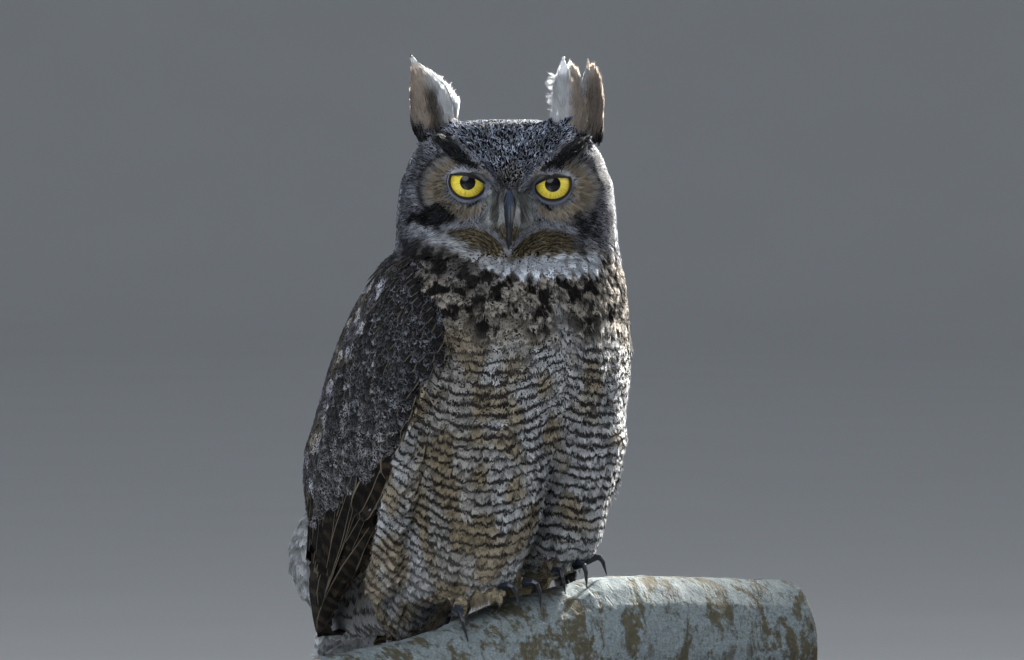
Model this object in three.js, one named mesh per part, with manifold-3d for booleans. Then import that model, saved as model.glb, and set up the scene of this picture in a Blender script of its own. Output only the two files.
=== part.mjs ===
// A life-size great horned owl perched on a short cut length of branch, held on a plain display stand.
// Millimetres, +Z up. The owl's body faces -Y, its own left is +X, and its head is turned to its right.
// Owl sizes are written from the perching point: between the feet, on top of the perch.
import * as THREE from "three";
import { mergeVertices } from "three/addons/utils/BufferGeometryUtils.js";
import Module from "manifold-3d";

const wasm = await Module();
wasm.setup();

// ---------------------------------------------------------------- driving dimensions
const GAP = 0.3; // clearance between neighbouring pieces
const BODY_SIDES = 24; // facets around the body and the folded wings
const CROWN_Z = 384; // top of the head
const HEAD = { x: 0, y: 30, z: 325 }; // middle of the head
const HEAD_TURN = THREE.MathUtils.degToRad(-36); // about +Z, towards the owl's right
const HEAD_ROLL = THREE.MathUtils.degToRad(1.3); // the owl's left eye is a little lower
const LID = { rise: 5.5, slant: THREE.MathUtils.degToRad(12) }; // height of its edge above the pupil, and its fall
const NECK_TOP_Z = 279;
const NECK_BOTTOM_Z = 243;
const EYE = { x: 33.8, y: -45.5, z: 9, radius: 15 };
const WING_SHELL = 10; // thickness of the folded wing
const PERCH_RADIUS = 55;
const PERCH_TURN = THREE.MathUtils.degToRad(-10);
const PERCH_FROM = -188;
const PERCH_TO = 232;
const BASE = { x: 12, y: 58, width: 300, depth: 240, height: 16, corner: 18, topZ: -192 };
const ROD_RADIUS = 6;
const ROD_ALONG = [-66, 96]; // distance of the rods along the perch from its middle

// ---------------------------------------------------------------- solids
function toSolid(geometry) {
  const bare = geometry.clone();
  bare.deleteAttribute("normal");
  bare.deleteAttribute("uv");
  const merged = mergeVertices(bare, 1e-3);
  const solid = new wasm.Manifold(
    new wasm.Mesh({
      numProp: 3,
      vertProperties: new Float32Array(merged.attributes.position.array),
      triVerts: new Uint32Array(merged.index.array),
    }),
  );
  return solid;
}

function toGeometry(solid) {
  const mesh = solid.getMesh();
  const positions = new Float32Array(mesh.numVert * 3);
  for (let i = 0; i < mesh.numVert; i++) {
    positions.set(mesh.vertProperties.subarray(i * mesh.numProp, i * mesh.numProp + 3), i * 3);
  }
  const geometry = new THREE.BufferGeometry();
  geometry.setAttribute("position", new THREE.BufferAttribute(positions, 3));
  geometry.setIndex(new THREE.BufferAttribute(new Uint32Array(mesh.triVerts), 1));
  geometry.computeVertexNormals();
  return geometry;
}

// The biggest connected piece of a solid, so that a cut leaves no crumbs.
function mainPiece(solid) {
  return solid.decompose().reduce((best, piece) => (piece.volume() > best.volume() ? piece : best));
}

const joined = (...solids) => solids.reduce((all, solid) => all.add(solid));
const cutBy = (solid, ...tools) => tools.reduce((rest, tool) => rest.subtract(tool), solid);

// A closed skin through rings of points, its two ends closed by fans.
function loft(rings) {
  const count = rings[0].length;
  const points = rings.flat();
  const middle = (ring) =>
    ring.reduce((sum, p) => sum.add(p), new THREE.Vector3()).divideScalar(ring.length);
  const first = points.length;
  points.push(middle(rings[0]), middle(rings[rings.length - 1]));
  const faces = [];
  for (let r = 0; r + 1 < rings.length; r++) {
    for (let i = 0; i < count; i++) {
      const a = r * count + i;
      const b = r * count + ((i + 1) % count);
      faces.push(a, b, a + count, b, b + count, a + count);
    }
  }
  const lastRing = (rings.length - 1) * count;
  for (let i = 0; i < count; i++) {
    const next = (i + 1) % count;
    faces.push(first, next, i);
    faces.push(first + 1, lastRing + i, lastRing + next);
  }
  const geometry = new THREE.BufferGeometry().setFromPoints(points);
  geometry.setIndex(signedVolume(points, faces) < 0 ? faces.reverse() : faces);
  return geometry;
}

function signedVolume(points, faces) {
  let sum = 0;
  for (let f = 0; f < faces.length; f += 3) {
    const [a, b, c] = [points[faces[f]], points[faces[f + 1]], points[faces[f + 2]]];
    sum += a.dot(new THREE.Vector3().crossVectors(b, c));
  }
  return sum;
}

// A smooth function through a few [place, value] pairs, flat beyond its ends.
function profile(...pairs) {
  const curve = new THREE.CatmullRomCurve3(
    pairs.map(([at, value]) => new THREE.Vector3(at, value, 0)),
    false,
    "centripetal",
  );
  const samples = curve.getPoints(pairs.length * 12);
  return (at) => {
    const rising = samples[0].x < samples[samples.length - 1].x;
    const ordered = rising ? samples : [...samples].reverse();
    if (at <= ordered[0].x) return ordered[0].y;
    const next = ordered.findIndex((p) => p.x >= at);
    if (next < 0) return ordered[ordered.length - 1].y;
    const [p, q] = [ordered[next - 1], ordered[next]];
    return p.y + ((q.y - p.y) * (at - p.x)) / (q.x - p.x || 1);
  };
}

// An oval ring in a level plane: half width a, reach to the front and to the back, rounder or boxier.
function ovalRing({ x = 0, y, z, a, front, back, box = 2, boxBack = box, turn = 0, grow = 0 }, sides) {
  const ring = [];
  for (let i = 0; i < sides; i++) {
    const angle = (i / sides) * 2 * Math.PI;
    const [c, s] = [Math.cos(angle), Math.sin(angle)];
    const power = 2 / (s < 0 ? box : boxBack);
    const px = Math.sign(c) * Math.abs(c) ** power * (a + grow);
    const py = Math.sign(s) * Math.abs(s) ** power * ((s < 0 ? front : back) + grow);
    ring.push(
      new THREE.Vector3(
        x + px * Math.cos(turn) - py * Math.sin(turn),
        y + px * Math.sin(turn) + py * Math.cos(turn),
        z,
      ),
    );
  }
  return ring;
}

// Heights from high to low, closer together where wanted.
function heights(from, to, steps, ease = 1) {
  return Array.from({ length: steps + 1 }, (_, i) => from + (to - from) * (i / steps) ** ease);
}

function ellipsoid(x, y, z, rx, ry, rz, sides = 18) {
  const geometry = new THREE.SphereGeometry(1, sides, Math.round(sides * 0.6));
  geometry.scale(rx, ry, rz);
  geometry.translate(x, y, z);
  return toSolid(geometry);
}

// A tapering rod along a smooth curve, flattened by the two radii that radiusAt gives.
function taperedRod(points, radiusAt, steps, sides, up = new THREE.Vector3(0, 0, 1)) {
  const curve = new THREE.CatmullRomCurve3(points, false, "centripetal");
  const rings = [];
  for (let k = 0; k <= steps; k++) {
    const centre = curve.getPoint(k / steps);
    const along = curve.getTangent(k / steps);
    const side = new THREE.Vector3().crossVectors(along, up).normalize();
    const over = new THREE.Vector3().crossVectors(side, along).normalize();
    const [wide, thick] = radiusAt(k / steps);
    rings.push(
      Array.from({ length: sides }, (_, i) => {
        const angle = (i / sides) * 2 * Math.PI;
        return centre
          .clone()
          .addScaledVector(side, wide * Math.cos(angle))
          .addScaledVector(over, thick * Math.sin(angle));
      }),
    );
  }
  return toSolid(loft(rings));
}

// Everything above or below a level plane.
function levelBlock(fromZ, toZ) {
  const size = 900;
  const geometry = new THREE.BoxGeometry(size, size, toZ - fromZ);
  geometry.translate(0, 0, (fromZ + toZ) / 2);
  return toSolid(geometry);
}

// Puts a solid made in the head's own frame, facing -Y about its middle, in its place on the body.
function onHead(solid) {
  const geometry = toGeometry(solid);
  geometry.rotateY(HEAD_ROLL);
  geometry.rotateZ(HEAD_TURN);
  geometry.translate(HEAD.x, HEAD.y, HEAD.z);
  return toSolid(geometry);
}

// ---------------------------------------------------------------- head, neck and trunk
const bodyWidth = profile(
  [CROWN_Z, 24], [380, 47], [370, 65], [355, 77], [335, 85], [315, 88], [295, 89], [275, 91],
  [255, 96], [235, 100], [205, 102], [165, 102], [135, 99], [107, 93], [80, 84], [55, 74], [35, 62], [18, 46],
);
const bodyFront = profile(
  [CROWN_Z, 24], [380, 40], [370, 52], [355, 59], [335, 62], [315, 62], [295, 59], [275, 64],
  [255, 74], [235, 81], [205, 87], [165, 94], [135, 98], [107, 101], [80, 96], [55, 86], [35, 70], [18, 44],
);
const bodyShift = profile([CROWN_Z, -3], [290, -3], [255, 0], [18, 0]);
const bodyBack = profile(
  [CROWN_Z, 26], [380, 44], [370, 56], [355, 64], [335, 69], [315, 74], [295, 80], [275, 84],
  [255, 98], [235, 110], [205, 130], [165, 146], [135, 148], [107, 144], [80, 126], [55, 104], [35, 82], [18, 52],
);
const bodyMiddle = profile(
  [CROWN_Z, HEAD.y], [255, 31], [235, 33], [205, 36], [165, 40], [135, 54], [107, 70], [80, 96],
  [55, 124], [35, 152], [18, 182],
);
const bodyBox = profile([CROWN_Z, 2.3], [330, 2.3], [270, 2.15], [240, 2.2], [18, 2.2]);
const bodyBoxBack = profile([CROWN_Z, 2.2], [270, 2.2], [220, 2.5], [18, 2.5]);
const headTurnAt = (z) => HEAD_TURN * THREE.MathUtils.smoothstep(z, 225, 300);

function body(grow = 0) {
  const levels = [CROWN_Z, 382, 377, 368, ...heights(356, 18, 15)];
  return toSolid(
    loft(
      levels.map((z) =>
        ovalRing(
          {
            x: bodyShift(z),
            y: bodyMiddle(z),
            z: z + (z > 370 ? grow : z < 25 ? -grow : 0),
            a: bodyWidth(z),
            front: bodyFront(z),
            back: bodyBack(z),
            box: bodyBox(z),
            boxBack: bodyBoxBack(z),
            turn: headTurnAt(z),
            grow,
          },
          BODY_SIDES,
        ),
      ),
    ),
  );
}

// ---------------------------------------------------------------- face, in the head's own frame
const mirrored = (make) => [-1, 1].map((side) => make(side));

function brow(side) {
  const points = [
    new THREE.Vector3(side * 3, -63, 0),
    new THREE.Vector3(side * 20, -62, 20),
    new THREE.Vector3(side * 42, -54, 32),
    new THREE.Vector3(side * 60, -32, 46),
  ];
  return taperedRod(points, (t) => [6 + 5 * Math.sin(Math.PI * t), 4 + 4 * Math.sin(Math.PI * t)], 6, 6);
}

// The upper lid: a cap over the eyeball, cut off along a line that falls towards the bill.
function lid(side) {
  const ball = ellipsoid(side * EYE.x, EYE.y, EYE.z, EYE.radius + 3, EYE.radius + 3, EYE.radius + 3, 12);
  const block = new THREE.BoxGeometry(60, 60, 40);
  block.translate(0, -10, 20 + LID.rise);
  block.rotateY(-side * LID.slant);
  block.translate(side * EYE.x, EYE.y, EYE.z);
  return ball.intersect(toSolid(block));
}

const discHollow = (side) => ellipsoid(side * 41, -74, 3, 35, 25, 35, 12);
const eyeBall = (side, grow = 0) =>
  ellipsoid(side * EYE.x, EYE.y, EYE.z, EYE.radius + grow, EYE.radius + grow, EYE.radius + grow, 14);
const billPad = () => ellipsoid(0, -55, -25, 27, 14, 21, 12);

function upperBill(grow = 0) {
  const points = [
    new THREE.Vector3(0, -60, -2),
    new THREE.Vector3(0, -74, -9),
    new THREE.Vector3(0, -82, -23),
    new THREE.Vector3(0, -79, -37),
    new THREE.Vector3(0, -74, -45),
  ];
  const radii = (t) => [8.2 * (1 - t ** 1.8) + 0.7 + grow, 7.5 * (1 - t ** 2.2) + 0.7 + grow];
  return taperedRod(points, radii, 8, 10);
}

function lowerBill() {
  const points = [
    new THREE.Vector3(0, -58, -24),
    new THREE.Vector3(0, -68, -31),
    new THREE.Vector3(0, -73, -38),
  ];
  return taperedRod(points, (t) => [7.5 * (1 - 0.75 * t), 3.6 * (1 - 0.7 * t)], 4, 10);
}

// One upright lobe of an ear tuft: a leaf that is widest a third of the way up.
function tuftLobe(base, middle, tip, halfWidth, halfThick) {
  const radii = (t) => {
    const leaf = Math.sin(Math.PI * (0.2 + 0.78 * t) ** 0.8);
    return [1 + halfWidth * leaf, 0.8 + halfThick * leaf];
  };
  return taperedRod([base, middle, tip], radii, 8, 8, new THREE.Vector3(0, -1, 0));
}

const rightTuft = () =>
  tuftLobe(
    new THREE.Vector3(-61, -16, 38),
    new THREE.Vector3(-66, -14, 76),
    new THREE.Vector3(-82, -9, 109),
    19,
    8,
  );
const leftTuft = () =>
  joined(
    tuftLobe(
      new THREE.Vector3(47, -20, 42),
      new THREE.Vector3(43, -20, 76),
      new THREE.Vector3(40, -14, 110),
      14,
      7,
    ),
    tuftLobe(
      new THREE.Vector3(55, -12, 38),
      new THREE.Vector3(63, -11, 76),
      new THREE.Vector3(60, -5, 110),
      11,
      7,
    ),
  );

// ---------------------------------------------------------------- legs
// Each leg is a deep, feathered trouser. Its hem passes over the foot and hangs behind the perch.
const RIGHT_LEG = [
  { z: 158, x: -46, a: 42, front: -38, back: 96 },
  { z: 130, x: -46, a: 50, front: -55, back: 112 },
  { z: 100, x: -47, a: 49, front: -59, back: 120 },
  { z: 70, x: -48, a: 45, front: -54, back: 122 },
  { z: 42, x: -50, a: 41, front: -44, back: 132 },
  { z: 20, x: -51, a: 37, front: -34, back: 138 },
  { z: 8, x: -52, a: 34, front: -18, back: 135 },
  { z: -6, x: -54, a: 31, front: 54, back: 128 },
  { z: -22, x: -56, a: 26, front: 71, back: 117 },
  { z: -34, x: -57, a: 12, front: 80, back: 100 },
];
const LEFT_LEG = [
  { z: 158, x: 46, a: 42, front: -38, back: 96 },
  { z: 130, x: 41, a: 45, front: -49, back: 112 },
  { z: 100, x: 35, a: 42, front: -47, back: 118 },
  { z: 75, x: 32, a: 38, front: -41, back: 118 },
  { z: 50, x: 33, a: 35, front: -34, back: 114 },
  { z: 34, x: 33, a: 31, front: -24, back: 110 },
  { z: 24, x: 34, a: 28, front: -8, back: 107 },
  { z: 6, x: 38, a: 26, front: 56, back: 104 },
  { z: -14, x: 42, a: 21, front: 70, back: 99 },
  { z: -26, x: 44, a: 11, front: 77, back: 91 },
];

function trouser(rows, grow = 0) {
  return toSolid(
    loft(
      rows.map(({ z, x, a, front, back }) => {
        const middle = Math.max((front + back) / 2 - 8, front + 6);
        return ovalRing({ x, y: middle, z, a, front: middle - front, back: back - middle, box: 2.3, grow }, 14);
      }),
    ),
  );
}

// ---------------------------------------------------------------- feet
// A toe is a plump feathered finger from the ankle to the root of its claw. Places are from the perching
// point, and the claw carries on from the toe's end, hooked down over the bark.
const TOE_RADIUS = 9.5;
const FEET = {
  right: {
    ankle: [-44, 16, 16],
    toes: {
      2: { end: [-27, -20, 16], claw: [-19, -38, -4] },
      3: { end: [-48, -20, 14], claw: [-40, -40, -5] },
      4: { end: [-79, -10, -4], claw: [-86, -32, -28] },
      1: { end: [-41, 40, -10], claw: [-43, 60, -36] },
    },
  },
  left: {
    ankle: [33, 22, 28],
    toes: {
      2: { end: [18, -6, 22], claw: [15, -25, 5] },
      3: { end: [33, -10, 27], claw: [34, -28, 9] },
      4: { end: [43, -7, 30], claw: [62, -17, 18] },
      1: { end: [36, 38, 4], claw: [38, 51, -24] },
    },
  },
};
const vector = (p) => new THREE.Vector3(...p);

function toe(ankle, end, grow) {
  const [from, to] = [vector(ankle), vector(end)];
  const bow = from.clone().lerp(to, 0.5).add(new THREE.Vector3(0, 0, 3));
  const radius = TOE_RADIUS + grow;
  const past = to.clone().addScaledVector(to.clone().sub(bow).normalize(), grow);
  return taperedRod([from, bow, past], (t) => [radius - 1.5 * t, radius - 2.5 * t], 2, 8);
}

function foot({ ankle, toes }, grow = 0) {
  const fingers = Object.values(toes).map(({ end }) => toe(ankle, end, grow));
  return joined(ellipsoid(...ankle, 14 + grow, 15 + grow, 13 + grow, 10), ...fingers);
}

function claw({ end, claw: tip }, ankle) {
  const [from, to] = [vector(end), vector(tip)];
  const ahead = from.clone().sub(vector(ankle)).setZ(0).normalize();
  const root = from.clone().addScaledVector(ahead, 4);
  const arch = root.clone().lerp(to, 0.45).addScaledVector(ahead, 5).add(new THREE.Vector3(0, 0, 8));
  return taperedRod([root, arch, to], (t) => [3.9 * (1 - t) + 0.5, 4.3 * (1 - t) + 0.5], 6, 6);
}

// ---------------------------------------------------------------- folded wings and mantle
const shellMiddle = profile(
  [275, 45], [240, 48], [216, 50], [190, 55], [165, 60], [135, 72], [107, 86], [80, 101], [40, 130], [0, 164], [-46, 194],
);
const shellWidth = profile(
  [275, 92], [240, 105], [216, 109], [190, 112], [165, 112], [135, 112], [107, 111], [80, 103], [40, 90], [0, 79], [-46, 60],
);
const shellFront = profile(
  [275, 70], [240, 84], [216, 94], [190, 100], [165, 102], [135, 102], [107, 94], [80, 86], [40, 70], [0, 58], [-46, 42],
);
const shellBack = profile(
  [275, 72], [240, 101], [216, 119], [190, 133], [165, 142], [135, 146], [107, 148], [80, 136], [40, 113], [0, 89], [-46, 60],
);

// The rounded envelope that the folded wings and the mantle lie in.
function envelope(grow = 0) {
  return toSolid(
    loft(
      heights(275, -46, 14).map((z) =>
        ovalRing(
          {
            y: shellMiddle(z),
            z: z + (z < -40 ? -grow : 0),
            a: shellWidth(z),
            front: shellFront(z),
            back: shellBack(z),
            box: 2.4,
            boxBack: 2.7,
            grow,
          },
          BODY_SIDES,
        ),
      ),
    ),
  );
}

// A block across the body whose outline is drawn in the side view, from [y, z] pairs; side picks which half.
function sidePrism(outline, side, from = 8, to = 160) {
  const shape = new THREE.Shape(outline.map(([y, z]) => new THREE.Vector2(y, z)));
  const geometry = new THREE.ExtrudeGeometry(shape, { depth: to - from, bevelEnabled: false, steps: 1 });
  // The extrusion's own x, y, z become the owl's y, z, x.
  geometry.applyMatrix4(new THREE.Matrix4().set(0, 0, 1, from, 1, 0, 0, 0, 0, 1, 0, 0, 0, 0, 0, 1));
  if (side > 0) return toSolid(geometry);
  geometry.applyMatrix4(new THREE.Matrix4().makeScale(-1, 1, 1));
  const faces = geometry.index;
  const flipped = faces ? geometry.toNonIndexed() : geometry;
  return toSolid(flippedFaces(flipped));
}

function flippedFaces(geometry) {
  const p = geometry.attributes.position;
  for (let i = 0; i < p.count; i += 3) {
    const [b, c] = [1, 2].map((k) => new THREE.Vector3().fromBufferAttribute(p, i + k));
    p.setXYZ(i + 1, c.x, c.y, c.z);
    p.setXYZ(i + 2, b.x, b.y, b.z);
  }
  return geometry;
}

// Side outlines of the wing's three tiers, each a closed line of [y, z] points.
const COVERT_EDGE = [[78, 72], [104, 80], [130, 66], [156, 52], [184, 42], [206, 30]];
const SECONDARY_EDGE = [[88, 62], [102, 50], [124, 46], [146, 38], [166, 28], [188, 12], [206, -2], [220, 6]];
const below = ([y, z]) => [y, z - GAP];
const COVERTS = [
  [24, 282], [6, 262], [0, 240], [-6, 220], [-4, 200], [9, 160], [34, 120], [58, 86], ...COVERT_EDGE,
  [190, 60], [166, 82], [140, 120], [120, 166], [96, 202], [64, 240], [44, 282],
];
const SECONDARIES = [...COVERT_EDGE.map(below), ...[...SECONDARY_EDGE].reverse()];
const PRIMARIES = [
  ...SECONDARY_EDGE.map(below), [230, -14], [232, -30], [228, -40], [218, -42], [197, -28], [178, -14],
  [159, -1], [139, 13], [119, 28], [104, 40], [92, 52],
];
const MANTLE = [
  [44 + GAP, 283], [64 + GAP, 240], [96 + GAP, 202], [120 + GAP, 166], [140 + GAP, 120], [166 + GAP, 82],
  [190 + GAP, 62], [214, 62], [240, 82], [300, 104], [300, 283],
];

// ---------------------------------------------------------------- rump, tail coverts and tail
function lobe(rows) {
  return (grow = 0) =>
    toSolid(
      loft(
        rows.map(({ z, a, front, back }, i) => {
          const middle = (front + back) / 2;
          const level = z + (i === 0 ? grow : i === rows.length - 1 ? -grow : 0);
          return ovalRing({ y: middle, z: level, a, front: middle - front, back: back - middle, box: 2.2, grow }, 16);
        }),
      ),
    );
}

const underTail = lobe([
  { z: 66, a: 52, front: 120, back: 215 },
  { z: 40, a: 52, front: 124, back: 226 },
  { z: 12, a: 48, front: 136, back: 232 },
  { z: -12, a: 42, front: 151, back: 234 },
  { z: -32, a: 33, front: 168, back: 232 },
  { z: -42, a: 22, front: 182, back: 226 },
  { z: -47, a: 9, front: 196, back: 214 },
]);
const upperTail = lobe([
  { z: 96, a: 40, front: 194, back: 224 },
  { z: 78, a: 50, front: 198, back: 246 },
  { z: 54, a: 58, front: 206, back: 270 },
  { z: 30, a: 60, front: 216, back: 286 },
  { z: 8, a: 56, front: 226, back: 286 },
  { z: -12, a: 46, front: 236, back: 277 },
  { z: -28, a: 28, front: 247, back: 267 },
]);

const TAIL = { top: [236, 44], tip: [255, -60], halfWidth: 40, halfThick: 4.5, feathers: 6 };

// The closed tail: a slightly roofed blade whose end is scalloped by the tips of its feathers.
function tail(grow = 0) {
  const { top, tip, halfWidth, halfThick, feathers } = TAIL;
  const shape = new THREE.Shape();
  const length = Math.hypot(tip[0] - top[0], tip[1] - top[1]);
  const feather = (2 * halfWidth) / feathers;
  shape.moveTo(-halfWidth * 0.8 - grow, grow);
  shape.lineTo(-halfWidth - grow, -length + 16);
  for (let k = 0; k < feathers; k++) {
    const from = -halfWidth + k * feather;
    const drop = 6 * (1 - Math.abs((k + 0.5) / feathers - 0.5) * 2);
    const end = -length + 6 - drop;
    shape.quadraticCurveTo(from + feather * 0.12, end - grow, from + feather * 0.5, end - 1 - grow);
    shape.quadraticCurveTo(from + feather * 0.88, end - grow, from + feather + (k === feathers - 1 ? grow : 0), end + 8);
  }
  shape.lineTo(halfWidth * 0.8 + grow, grow);
  const settings = { depth: 2 * (halfThick + grow), bevelEnabled: false, curveSegments: 3 };
  const geometry = new THREE.ExtrudeGeometry(shape, settings);
  geometry.translate(0, 0, -halfThick - grow);
  const p = geometry.attributes.position;
  for (let i = 0; i < p.count; i++) {
    p.setZ(i, p.getZ(i) - 5 * (p.getX(i) / halfWidth) ** 2);
  }
  // The blade's length runs along -Y before it is stood up: its face looks back, and its end hangs down.
  geometry.rotateX(Math.PI / 2);
  geometry.applyMatrix4(new THREE.Matrix4().makeScale(1, -1, 1));
  const lean = Math.atan2(tip[0] - top[0], top[1] - tip[1]);
  geometry.rotateX(lean);
  geometry.translate(0, top[0], top[1]);
  return toSolid(flippedFaces(geometry.index ? geometry.toNonIndexed() : geometry));
}

// ---------------------------------------------------------------- perch and stand
// Height of the bark under the toes, at a distance along the perch.
const perchTop = profile([-190, -40], [-151, -34], [-82, -21], [-37, -3], [20, 9], [57, 17], [103, 17], [191, 12], [232, 10]);
const perchRadius = profile([-190, 51], [-40, 54], [60, 57], [232, 55]);

function perch(grow = 0) {
  const rings = [];
  const [steps, sides] = [16, 18];
  for (let k = 0; k <= steps; k++) {
    const along = PERCH_FROM + ((PERCH_TO - PERCH_FROM) * k) / steps;
    const radius = perchRadius(along) + grow;
    const centre = perchTop(along) - perchRadius(along);
    const end = k === 0 ? -grow : k === steps ? grow : 0;
    rings.push(
      Array.from({ length: sides }, (_, i) => {
        const angle = (i / sides) * 2 * Math.PI;
        return new THREE.Vector3(along + end, radius * Math.cos(angle), centre + radius * Math.sin(angle));
      }),
    );
  }
  const geometry = loft(rings);
  geometry.rotateZ(PERCH_TURN);
  return toSolid(geometry);
}

function standBase() {
  const { x, y, width, depth, height, corner, topZ } = BASE;
  const [w, d] = [width / 2, depth / 2];
  const shape = new THREE.Shape();
  shape.moveTo(-w + corner, -d);
  shape.lineTo(w - corner, -d);
  shape.absarc(w - corner, -d + corner, corner, -Math.PI / 2, 0);
  shape.lineTo(w, d - corner);
  shape.absarc(w - corner, d - corner, corner, 0, Math.PI / 2);
  shape.lineTo(-w + corner, d);
  shape.absarc(-w + corner, d - corner, corner, Math.PI / 2, Math.PI);
  shape.lineTo(-w, -d + corner);
  shape.absarc(-w + corner, -d + corner, corner, Math.PI, 1.5 * Math.PI);
  const geometry = new THREE.ExtrudeGeometry(shape, { depth: height, bevelEnabled: false, curveSegments: 4 });
  geometry.translate(x, y, topZ - height);
  return toSolid(geometry);
}

function standRod(along) {
  const bottom = BASE.topZ + GAP;
  const top = perchTop(along) - perchRadius(along);
  const geometry = new THREE.CylinderGeometry(ROD_RADIUS, ROD_RADIUS, top - bottom, 16);
  geometry.rotateX(Math.PI / 2);
  geometry.translate(along * Math.cos(PERCH_TURN), along * Math.sin(PERCH_TURN), (top + bottom) / 2);
  return cutBy(toSolid(geometry), perch(GAP));
}

// ---------------------------------------------------------------- putting the owl together
const colours = {
  dark: { color: 0x2b2723, roughness: 0.85 },
  grey: { color: 0x5e574e, roughness: 0.85 },
  buff: { color: 0x9b8b73, roughness: 0.85 },
  white: { color: 0xb9b4a9, roughness: 0.85 },
  brown: { color: 0x4a3b2e, roughness: 0.8 },
  toe: { color: 0x8d7558, roughness: 0.9 },
  horn: { color: 0x23262b, roughness: 0.35 },
  eye: { color: 0xe8c51c, roughness: 0.1 },
  bark: { color: 0x8f948c, roughness: 0.9 },
  base: { color: 0x2a1d15, roughness: 0.5 },
  steel: { color: 0x9a9da0, roughness: 0.35, metalness: 0.9 },
};
const materials = Object.fromEntries(
  Object.entries(colours).map(([name, look]) => [name, new THREE.MeshStandardMaterial(look)]),
);

const owl = new THREE.Group();
owl.name = "great_horned_owl";

function place(name, solid, look) {
  const mesh = new THREE.Mesh(toGeometry(mainPiece(solid)), materials[look]);
  mesh.name = name;
  owl.add(mesh);
}

const wholeBody = body();
const bodyClear = body(GAP);
const perchSolid = perch();
const perchClear = perch(GAP);
const shell = cutBy(envelope(), envelope(-WING_SHELL), bodyClear);

const bills = [upperBill(), lowerBill()].map(onHead);
const billsClear = [onHead(upperBill(GAP))];
const brows = mirrored(brow).map(onHead);
const hollows = mirrored(discHollow).map(onHead);
const eyes = mirrored((side) => onHead(eyeBall(side)));
const eyeSockets = mirrored((side) => onHead(eyeBall(side, GAP)));

const headBlock = wholeBody.intersect(levelBlock(NECK_TOP_Z + GAP, CROWN_Z + 10));
const lids = mirrored(lid).map(onHead);
const faceSolid = joined(cutBy(headBlock, ...hollows), ...brows, ...lids, onHead(billPad()));
const headSolid = cutBy(faceSolid, ...eyeSockets, ...bills, ...billsClear);
place("head", headSolid.intersect(levelBlock(NECK_TOP_Z + GAP, CROWN_Z + 30)), "grey");
place("neck", wholeBody.intersect(levelBlock(NECK_BOTTOM_Z + GAP, NECK_TOP_Z)), "white");

const faceClear = joined(bodyClear, ...brows);
place("ear_tuft_right", cutBy(onHead(rightTuft()), faceClear), "dark");
place("ear_tuft_left", cutBy(onHead(leftTuft()), faceClear), "dark");
place("eye_right", cutBy(eyes[0], ...billsClear), "eye");
place("eye_left", cutBy(eyes[1], ...billsClear), "eye");
place("bill_upper", bills[0], "horn");
place("bill_lower", cutBy(bills[1], ...billsClear), "horn");

const trousers = { right: trouser(RIGHT_LEG), left: trouser(LEFT_LEG) };
const trousersClear = { right: trouser(RIGHT_LEG, GAP), left: trouser(LEFT_LEG, GAP) };
const feet = { right: foot(FEET.right), left: foot(FEET.left) };
const feetClear = { right: foot(FEET.right, GAP), left: foot(FEET.left, GAP) };
const claws = Object.fromEntries(
  Object.entries(FEET).map(([side, { ankle, toes }]) => [
    side,
    Object.entries(toes).map(([digit, parts]) => [digit, claw(parts, ankle)]),
  ]),
);

const tailSolid = tail();
const tailClear = tail(GAP);
place("trunk", cutBy(wholeBody.intersect(levelBlock(0, NECK_BOTTOM_Z)), tailClear), "buff");

const wingParts = { coverts: [COVERTS, "dark"], secondaries: [SECONDARIES, "brown"], primaries: [PRIMARIES, "brown"] };
for (const [sideName, side] of [["right", -1], ["left", 1]]) {
  for (const [tier, [outline, look]] of Object.entries(wingParts)) {
    place(`wing_${sideName}_${tier}`, shell.intersect(sidePrism(outline, side)), look);
  }
}
const mantleBlock = joined(sidePrism(MANTLE, 1, -0.01), sidePrism(MANTLE, -1, -0.01));
place("mantle", shell.intersect(mantleBlock), "grey");

const underTailSolid = cutBy(underTail(), bodyClear, envelope(GAP).subtract(envelope(-WING_SHELL - GAP)), tailClear);
place("tail_coverts_under", underTailSolid, "white");
const upperTools = [bodyClear, envelope(GAP).subtract(envelope(-WING_SHELL - GAP)), tailClear, underTail(GAP)];
place("tail_coverts_upper", cutBy(upperTail(), ...upperTools), "grey");
place("tail", tailSolid, "brown");

for (const sideName of ["right", "left"]) {
  const legTools = [bodyClear, perchClear, envelope(GAP).subtract(envelope(-WING_SHELL - GAP)), underTail(GAP)];
  const otherHalf = sidePrism([[-200, -200], [300, -200], [300, 300], [-200, 300]], sideName === "right" ? 1 : -1, -GAP / 2);
  place(`leg_${sideName}`, cutBy(trousers[sideName], ...legTools, otherHalf, feetClear[sideName]), "buff");
  place(`foot_${sideName}`, cutBy(feet[sideName], bodyClear, perchClear), "toe");
  for (const [digit, solid] of claws[sideName]) {
    place(`claw_${sideName}_${digit}`, cutBy(solid, feetClear[sideName], perchClear, trousersClear[sideName]), "horn");
  }
}

place("perch", perchSolid, "bark");
place("stand_base", standBase(), "base");
ROD_ALONG.forEach((along, i) => place(`stand_rod_${i + 1}`, standRod(along), "steel"));

// The origin is the middle of the model's footprint, on the floor.
const box = new THREE.Box3().setFromObject(owl);
const middle = box.getCenter(new THREE.Vector3());
owl.position.set(-middle.x, -middle.y, -box.min.z);

export default owl;
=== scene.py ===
"""A great horned owl on a cut branch, life size: one skin under feathers that are single sheets."""

import math

import bmesh
import bpy
import numpy as np
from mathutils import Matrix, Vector
from mathutils.bvhtree import BVHTree
from mathutils.kdtree import KDTree


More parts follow.
